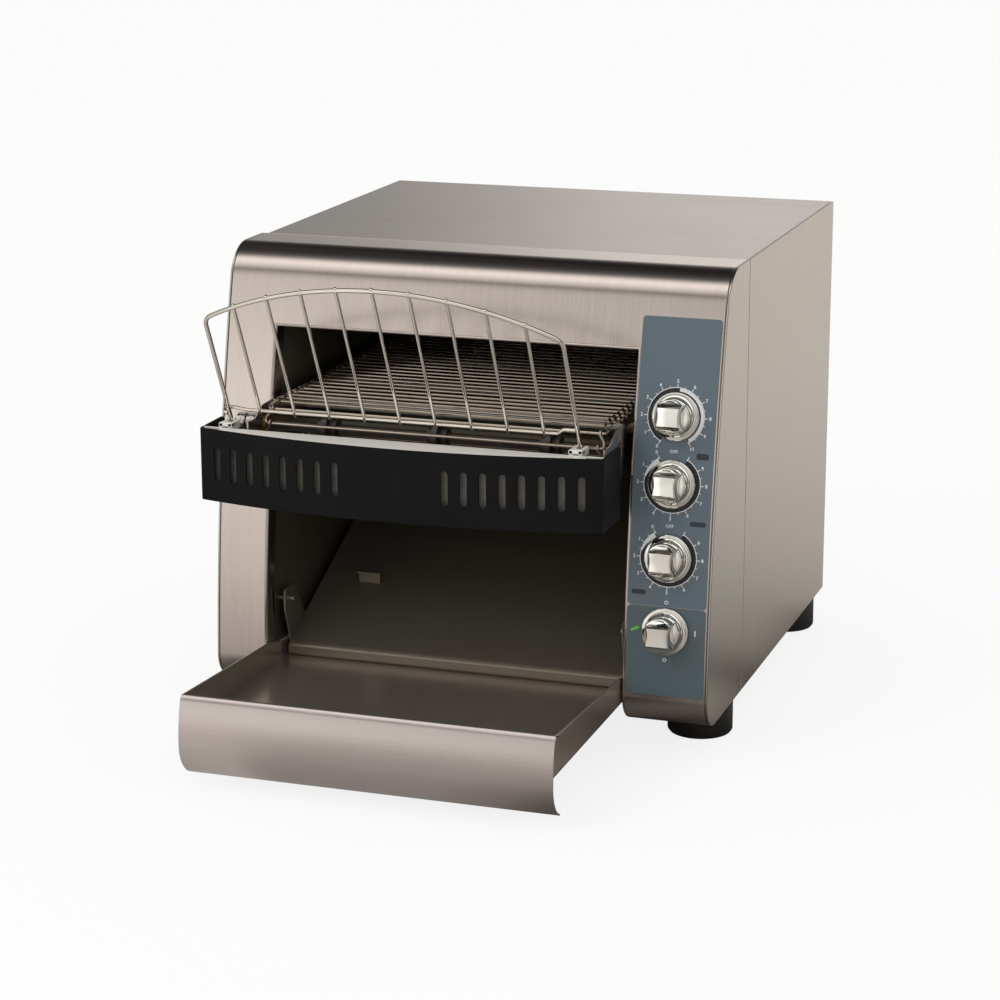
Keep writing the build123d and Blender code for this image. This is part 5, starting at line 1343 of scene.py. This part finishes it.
# The skirt's profile, as radius and height, and the grip's rounded edge, as
# how far each ring lies below the face and inside the outline.
SKIRT = [
    (3.05, 1.2),
    (9.8, 1.2),
    (10.0, 3.4),
    (16.0, 2.2),
    (16.6, 1.25),
    (17.0, 1.4),
    (17.2, 1.9),
    (17.15, 2.5),
    (16.8, 3.0),
    (16.3, 3.25),
    (15.6, 3.4),
    (14.6, 3.7),
    (13.6, 4.3),
    (12.9, 5.2),
    (12.5, 6.4),
    (12.3, 7.8),
    (12.0, 8.7),
    (11.4, 9.3),
    (10.4, 9.6),
    (3.05, 9.7),
]
GRIP_EDGE = [(None, 0.0), (1.3, 0.0), (0.75, 0.12), (0.35, 0.4), (0.1, 0.8), (0.0, 1.3)]
chrome = plain_finish(
    "chromium_plate", (0.80, 0.79, 0.75), (0.90, 0.89, 0.86), 1.0, 0.035, size=70.0, uneven=0.05
)


def grip_side(v):
    """Half the grip's width at a distance from its middle."""
    waist = GRIP_HALF - WAIST_DEPTH + WAIST_R - sqrt(WAIST_R**2 - v * v)
    return min(waist, GRIP_HALF)


straight_end = sqrt(GRIP_END_R**2 - GRIP_HALF**2)
side_vs = [-straight_end, -8.19, -CREASE, -4.2, -2.0, 0.0, 2.0, 4.2, CREASE, 8.19, straight_end]
grip_line = [(grip_side(v), v) for v in side_vs]
end_turn = atan2(straight_end, GRIP_HALF)
end_arc = [end_turn + (pi - 2 * end_turn) * n / 14 for n in range(1, 14)]
grip_line += [(GRIP_END_R * cos(t), GRIP_END_R * sin(t)) for t in end_arc]
grip_line += [(-u, v) for u, v in reversed(grip_line[: len(side_vs)])]
grip_line += [(-GRIP_END_R * cos(t), -GRIP_END_R * sin(t)) for t in end_arc]


def grip_height(v):
    """The face's height: flat in the middle, falling away beyond each crease."""
    return KNOB_HEIGHT - GRIP_DROP * max(0.0, abs(v) - CREASE) / (GRIP_END_R - CREASE)


def knob_shape(frame_at):
    """One knob, laid on the brow by frame_at(u, v, height)."""
    shape = bmesh.new()
    around = [2 * pi * k / 72 for k in range(72)]
    loft(shape, [[frame_at(r * cos(turn), r * sin(turn), height) for turn in around] for r, height in SKIRT])
    points = []
    size = len(grip_line)
    for below, inset in GRIP_EDGE:
        for u, v in grip_line:
            scale = 1 - inset / hypot(u, v)
            height = GRIP_FOOT if below is None else grip_height(v) - below
            points.append(frame_at(u * scale, v * scale if abs(abs(v) - CREASE) > 1e-6 else v, height))
    faces = [tuple(range(size))]
    top = (len(GRIP_EDGE) - 1) * size
    for level in range(0, top, size):
        for n in range(size):
            a, b = level + n, level + (n + 1) % size
            faces.append((a, b, b + size, a + size))
    upper = [n for n, (u, v) in enumerate(grip_line) if v >= CREASE - 1e-6]
    lower = [n for n, (u, v) in enumerate(grip_line) if v <= -CREASE + 1e-6]
    middle = [n for n, (u, v) in enumerate(grip_line) if abs(v) <= CREASE + 1e-6]
    split = next(i for i, n in enumerate(lower) if n > size // 2)
    lower = lower[split:] + lower[:split]
    faces += [tuple(top + n for n in patch) for patch in (upper, lower, middle)]
    add_shell(shape, points, faces)
    return shape


for dial, z in KNOB_ZS.items():
    tilt = asin((z - brow_centre.y) / BROW_R)
    centre = on_casing(KNOB_X, run_at(z), 0)
    up = Vector((0, sin(tilt), cos(tilt)))
    out = Vector((0, -cos(tilt), sin(tilt)))

    def on_dial(u, v, height, centre=centre, up=up, out=out):
        return centre + Vector((u, 0, 0)) + up * v + out * height

    knob = knob_shape(on_dial)
    finished(f"{dial}_knob_plated", knob, chrome, [f"{dial}_knob"], f"{dial}_dial", sharp=38)


# -------------------------------------------------------------------- feet
# Moulded rubber feet, grooved near the top and hollow below for the screw
# that holds each one to the base pan.
FOOT_LINE = [
    (3.1, 8.0),
    (9.0, 8.0),
    (9.0, 0.4),
    (9.4, 0.0),
    (21.6, 0.0),
    (22.4, 0.3),
    (23.6, 1.8),
    (23.9, 2.6),
    (23.9, 19.0),
    (23.4, 19.4),
    (23.4, 20.2),
    (23.9, 20.6),
    (23.9, 23.3),
    (23.5, 23.9),
    (3.1, 23.9),
]
feet_shape = bmesh.new()
turned(feet_shape, FOOT_LINE, (0, 0, 0), (0, 0, 1), 64)
rubber = plain_finish(
    "black_rubber",
    (0.010, 0.010, 0.010),
    (0.022, 0.021, 0.020),
    0.0,
    0.38,
    size=60.0,
    detail=4.0,
    uneven=0.16,
)
foot_places = [(x, y, 0, 0, 0, 0) for x in (-159, 164) for y in (-43, 228)]
set_out("rubber_feet", feet_shape, foot_places, rubber, ["feet"])


# ----------------------------------------------------------- other finishes
# Pieces kept as they were machined or bought in: liners, heaters, shafts,
# drive, controls and fan, each given the finish of its own material.
liner_sheet = plain_finish(
    "heat_stained_liner", (0.15, 0.135, 0.105), (0.24, 0.215, 0.17), 0.7, 0.34, size=12.0
)
quartz = plain_finish("quartz_tube", (0.55, 0.50, 0.46), (0.70, 0.66, 0.62), 0.0, 0.12)
ceramic = plain_finish("white_ceramic", (0.60, 0.57, 0.52), (0.72, 0.69, 0.64), 0.0, 0.5)
dark_plastic = plain_finish("black_moulding", (0.012, 0.012, 0.012), (0.022, 0.022, 0.022), 0.0, 0.4)
grey_plastic = plain_finish("grey_moulding", (0.12, 0.12, 0.12), (0.17, 0.17, 0.165), 0.0, 0.42)
board = plain_finish("board_lacquer", (0.02, 0.09, 0.035), (0.03, 0.13, 0.05), 0.0, 0.35)
cast = plain_finish("grey_cast_metal", (0.25, 0.25, 0.245), (0.34, 0.335, 0.33), 0.8, 0.42)
chain_finish = plain_finish("oiled_chain", (0.16, 0.145, 0.13), (0.26, 0.24, 0.22), 1.0, 0.3)
mill_aluminium = plain_finish("mill_aluminium", (0.62, 0.62, 0.61), (0.72, 0.72, 0.71), 1.0, 0.32)
kept = {
    liner_sheet: [
        "chamber_wall_left",
        "chamber_wall_right",
        "chamber_wall_rear",
        "chamber_roof",
        "lower_reflector",
    ],
    quartz: ["heater_tubes"],
    ceramic: ["ceramic_caps"],
    dark_plastic: ["speed_control", "fan_rotor", "fan_frame", "terminal_block"],
    grey_plastic: ["heat_controls", "power_switch", "inlet_gland"],
    board: ["speed_board"],
    cast: ["gearmotor", "limit_thermostat"],
    chain_finish: ["drive_chain", "drive_sprocket", "motor_pinion"],
    mill_aluminium: ["fan_guard"],
    # Painted shade: the belt wheels get the same near-black steel as the idler shaft.
    dark_steel_painted_shade: ["idler_wheels", "drive_wheels"],
    plated: [
        "foot_screws",
        "rear_screws",
        "control_nuts",
        "rail_spacers",
        "drive_shaft",
        "speed_shaft",
        "top_heat_shaft",
        "bottom_heat_shaft",
        "power_shaft",
    ],
    bright_steel: ["base_pan", "tray_runners"],
}
for paint, names in kept.items():
    for name in names:
        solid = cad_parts[name]
        solid.data.materials.clear()
        solid.data.materials.append(paint)


# ------------------------------------------------- floor, light and camera
# A plain pale floor under soft studio light, and the camera.  Mirror rays alone
# find the studio's bright and dark bands, and a painted shadow on the floor round
# the toaster; matt surfaces get even light.
floor_shape = bmesh.new()
FLOOR_R = 60.0
bmesh.ops.create_circle(floor_shape, cap_ends=True, segments=96, radius=FLOOR_R)
floor_mesh = bpy.data.meshes.new("floor")
floor_shape.to_mesh(floor_mesh)
floor_shape.free()
floor = bpy.data.objects.new("floor", floor_mesh)
bpy.context.scene.collection.objects.link(floor)
FLOOR_MIRROR = 0.85
FLOOR_GLOW = 0.84
FOOTPRINT_X = 0.20
FOOTPRINT_Y = 0.24
FOOTPRINT_MIDDLE = 0.02
PAINTED_SHADOW_REACH = 4.0
STRIP_TOP = 2.0
BRIGHTEST = 1.6
REAR_TOP = 1.2
CREAM = (1.0, 0.97, 0.92)
WHITE = (1.0, 1.0, 1.0, 1.0)
# Painted shadow on the floor, seen by mirror rays only: how bright a mirror ray
# finds the floor, by its distance in metres from the toaster's footprint.
PAINTED_FLOOR_SHADOW = [(0.0, 0.13), (0.015, 0.30), (0.05, 0.46), (0.2, 0.58), (0.5, 0.68), (1.0, 0.77), (3.6, 0.86)]
# How bright the studio is round the toaster: degrees from the front, level.
STRIPS = [
    (-180, 1.0),
    (-150, 0.9),
    (-125, 0.8),
    (-112, 0.2),
    (-100, 0.7),
    (-90, 0.85),
    (-80, 0.6),
    (-67, 0.15),
    (-57, 0.7),
    (-48, 1.2),
    (-34, 1.1),
    (-27, 1.4),
    (-22.5, 1.4),
    (-19.5, 1.05),
    (-16.5, 0.92),
    (-10, 0.9),
    (6, 0.85),
    (16, 0.6),
    (24, 0.2),
    (33, 0.6),
    (42, 0.9),
    (50, 0.7),
    (58, 0.12),
    (76, 0.12),
    (84, 0.7),
    (90, 0.85),
    (100, 0.7),
    (112, 0.2),
    (125, 0.8),
    (150, 1.0),
    (180, 1.0),
]
# How bright it is over the toaster, in degrees from the front's horizon over
# the top to the back's.
SHADES = [
    (0, 0.85),
    (4, 1.0),
    (9, 0.95),
    (14, 0.82),
    (20, 0.78),
    (27, 0.76),
    (34, 0.62),
    (41, 0.30),
    (45, 0.50),
    (50, 0.85),
    (57, 1.15),
    (64, 1.5),
    (73, 1.5),
    (81, 0.80),
    (87, 0.22),
    (96, 0.09),
    (106, 0.04),
    (138, 0.04),
    (148, 0.12),
    (154, 0.28),
    (160, 0.42),
    (164, 0.62),
    (168, 1.3),
    (174, 0.62),
    (180, 0.55),
]
# What the back half is toned down to from side to side, in degrees.
REAR_SHADES = [
    (-60, 1.2),
    (-36, 1.1),
    (-27, 0.42),
    (-21, 0.62),
    (-19, 0.8),
    (-16, 1.15),
    (-12, 1.2),
    (-8, 0.8),
    (-3, 0.6),
    (6, 0.9),
    (20, 1.2),
]


def axis_of(way, axis):
    """One of a place's three coordinates."""
    return way.node("ShaderNodeSeparateXYZ", None, {"Vector": way}, axis)


def shaded(way, stops):
    """The colour of a ramp at a place from 0 to 1."""
    return way.node("ShaderNodeValToRGB", {"stops": stops}, {"Fac": way})


def multiplied(one, other, share=1.0):
    """A colour multiplied by another, by a share of its full strength."""
    settings = {"data_type": "RGBA", "blend_type": "MULTIPLY"}
    return one.node("ShaderNodeMix", settings, {"Factor": share, "A": one, "B": other}, "Result")


def round_the_toaster(across, along):
    """How bright the strips are in a direction on the ground."""
    turned_to = across.sum("ARCTAN2", across, along * -1.0) * (0.5 / pi) + 0.5
    return shaded(turned_to, [(angle / 360 + 0.5, (level / STRIP_TOP,) * 3) for angle, level in STRIPS])


def mixed(start, share, one, other):
    """One shader giving way to another."""
    return start.node("ShaderNodeMixShader", None, {0: share, 1: one, 2: other})


floor_paint = bpy.data.materials.new("pale_floor")
floor_paint.use_nodes = True
floor_tree = floor_paint.node_tree
floor_tree.nodes.clear()
start = Reading(floor_tree, None)
seen = start.node("ShaderNodeLightPath", output="Is Camera Ray")
mirrored = start.node("ShaderNodeLightPath", output="Is Glossy Ray")
matt = start.node("ShaderNodeBsdfDiffuse", None, {"Color": (0.66, 0.60, 0.54, 1)})
spot = start.node("ShaderNodeTexCoord", output="Object")
spot_x = axis_of(spot, "X")
spot_y = axis_of(spot, "Y")
beyond_x = start.sum("MAXIMUM", start.sum("ABSOLUTE", spot_x) - FOOTPRINT_X, 0.0)
beyond_y = start.sum("MAXIMUM", start.sum("ABSOLUTE", spot_y - FOOTPRINT_MIDDLE) - FOOTPRINT_Y, 0.0)
painted_shadow_distance = start.sum("SQRT", beyond_x * beyond_x + beyond_y * beyond_y)
painted_shadow_stops = [(far / PAINTED_SHADOW_REACH, (level, level * 0.95, level * 0.89)) for far, level in PAINTED_FLOOR_SHADOW]
# Mirror rays see the floor with a painted shadow round the footprint, times the studio's strips painted on
# the floor.
floor_painted_shadow = multiplied(shaded(painted_shadow_distance / PAINTED_SHADOW_REACH, painted_shadow_stops), round_the_toaster(spot_x, spot_y))
painted_floor_shadow_glow = start.node("ShaderNodeEmission", None, {"Color": floor_painted_shadow, "Strength": STRIP_TOP})
glow = start.node("ShaderNodeEmission", None, {"Color": WHITE, "Strength": 1.0})
white_matt = start.node("ShaderNodeBsdfDiffuse", None, {"Color": WHITE})
ground = mixed(start, mirrored * FLOOR_MIRROR, matt, painted_floor_shadow_glow)
shown = mixed(start, FLOOR_GLOW, white_matt, glow)
floor_out = floor_tree.nodes.new("ShaderNodeOutputMaterial")
floor_tree.links.new(mixed(start, seen, ground, shown).socket, floor_out.inputs["Surface"])
floor_mesh.materials.append(floor_paint)

world = bpy.data.worlds.new("studio")
bpy.context.scene.world = world
world.use_nodes = True
sky = world.node_tree
sky.nodes.clear()
start = Reading(sky, None)
way = start.node("ShaderNodeTexCoord", output="Generated")
side_x = axis_of(way, "X")
side_y = axis_of(way, "Y")
side_z = axis_of(way, "Z")
over = start.sum("ARCTAN2", side_z, side_y * -1.0) * (1 / pi)
bands = shaded(over, [(angle / 180, tuple(c * level / BRIGHTEST for c in CREAM)) for angle, level in SHADES])
sideways = start.sum("ARCTAN2", side_x, side_y) * (1 / pi) + 0.5
rear = shaded(sideways, [(angle / 180 + 0.5, (level / REAR_TOP,) * 3) for angle, level in REAR_SHADES])
bands = multiplied(bands, rear, side_y > 0.0)
striped = multiplied(multiplied(bands, round_the_toaster(side_x, side_y)), (STRIP_TOP,) * 3 + (1.0,))
low_down = 1.35 - side_z * 2.2
bands = start.node(
    "ShaderNodeMix",
    {"data_type": "RGBA"},
    {"Factor": low_down, "A": bands, "B": striped},
    output="Result",
)
glossy = start.node("ShaderNodeLightPath", output="Is Glossy Ray")
camera_ray = start.node("ShaderNodeLightPath", output="Is Camera Ray")
even = start.node("ShaderNodeBackground", None, {"Color": (1.0, 0.985, 0.965, 1), "Strength": 0.8})
studio = start.node("ShaderNodeBackground", None, {"Color": bands, "Strength": BRIGHTEST})
white_back = start.node("ShaderNodeBackground", None, {"Color": WHITE, "Strength": 1.0})
sky_out = sky.nodes.new("ShaderNodeOutputWorld")
lit = mixed(start, glossy, even, studio)
sky.links.new(mixed(start, camera_ray, lit, white_back).socket, sky_out.inputs["Surface"])

KEY_PLACE = Vector((-1.3, -1.9, 1.9))
KEY_AIM = Vector((0, 0, 0.15))
key = bpy.data.lights.new("key", "AREA")
key.shape = "RECTANGLE"
key.size = 1.6
key.size_y = 1.2
key.energy = 14.0
key_light = bpy.data.objects.new("key", key)
key_light.location = KEY_PLACE
key_light.rotation_euler = (KEY_AIM - KEY_PLACE).to_track_quat("-Z", "Y").to_euler()
key_light.visible_camera = False
key_light.visible_glossy = False
bpy.context.scene.collection.objects.link(key_light)

CAMERA_PLACE = (0.65251, -1.94762, 0.69786)
SENSOR = 36.0
FOCAL_WIDTHS = 2.8222
camera = bpy.data.cameras.new("camera")
camera.sensor_width = SENSOR
camera.lens = FOCAL_WIDTHS * SENSOR
camera.clip_start = 0.05
camera.clip_end = 200.0
shot = bpy.data.objects.new("camera", camera)
bpy.context.scene.collection.objects.link(shot)
yaw, pitch, roll = 0.325705, 0.260750, -0.002127
forward = Vector((-sin(yaw) * cos(pitch), cos(yaw) * cos(pitch), -sin(pitch)))
level = Vector((cos(yaw), sin(yaw), 0))
rise = level.cross(forward)
right = level * cos(roll) + rise * sin(roll)
above = rise * cos(roll) - level * sin(roll)
turn = Matrix((right, above, -forward)).transposed()
shot.matrix_world = Matrix.Translation(CAMERA_PLACE) @ turn.to_4x4()
bpy.context.scene.camera = shot
bpy.context.scene.view_settings.view_transform = "Standard"
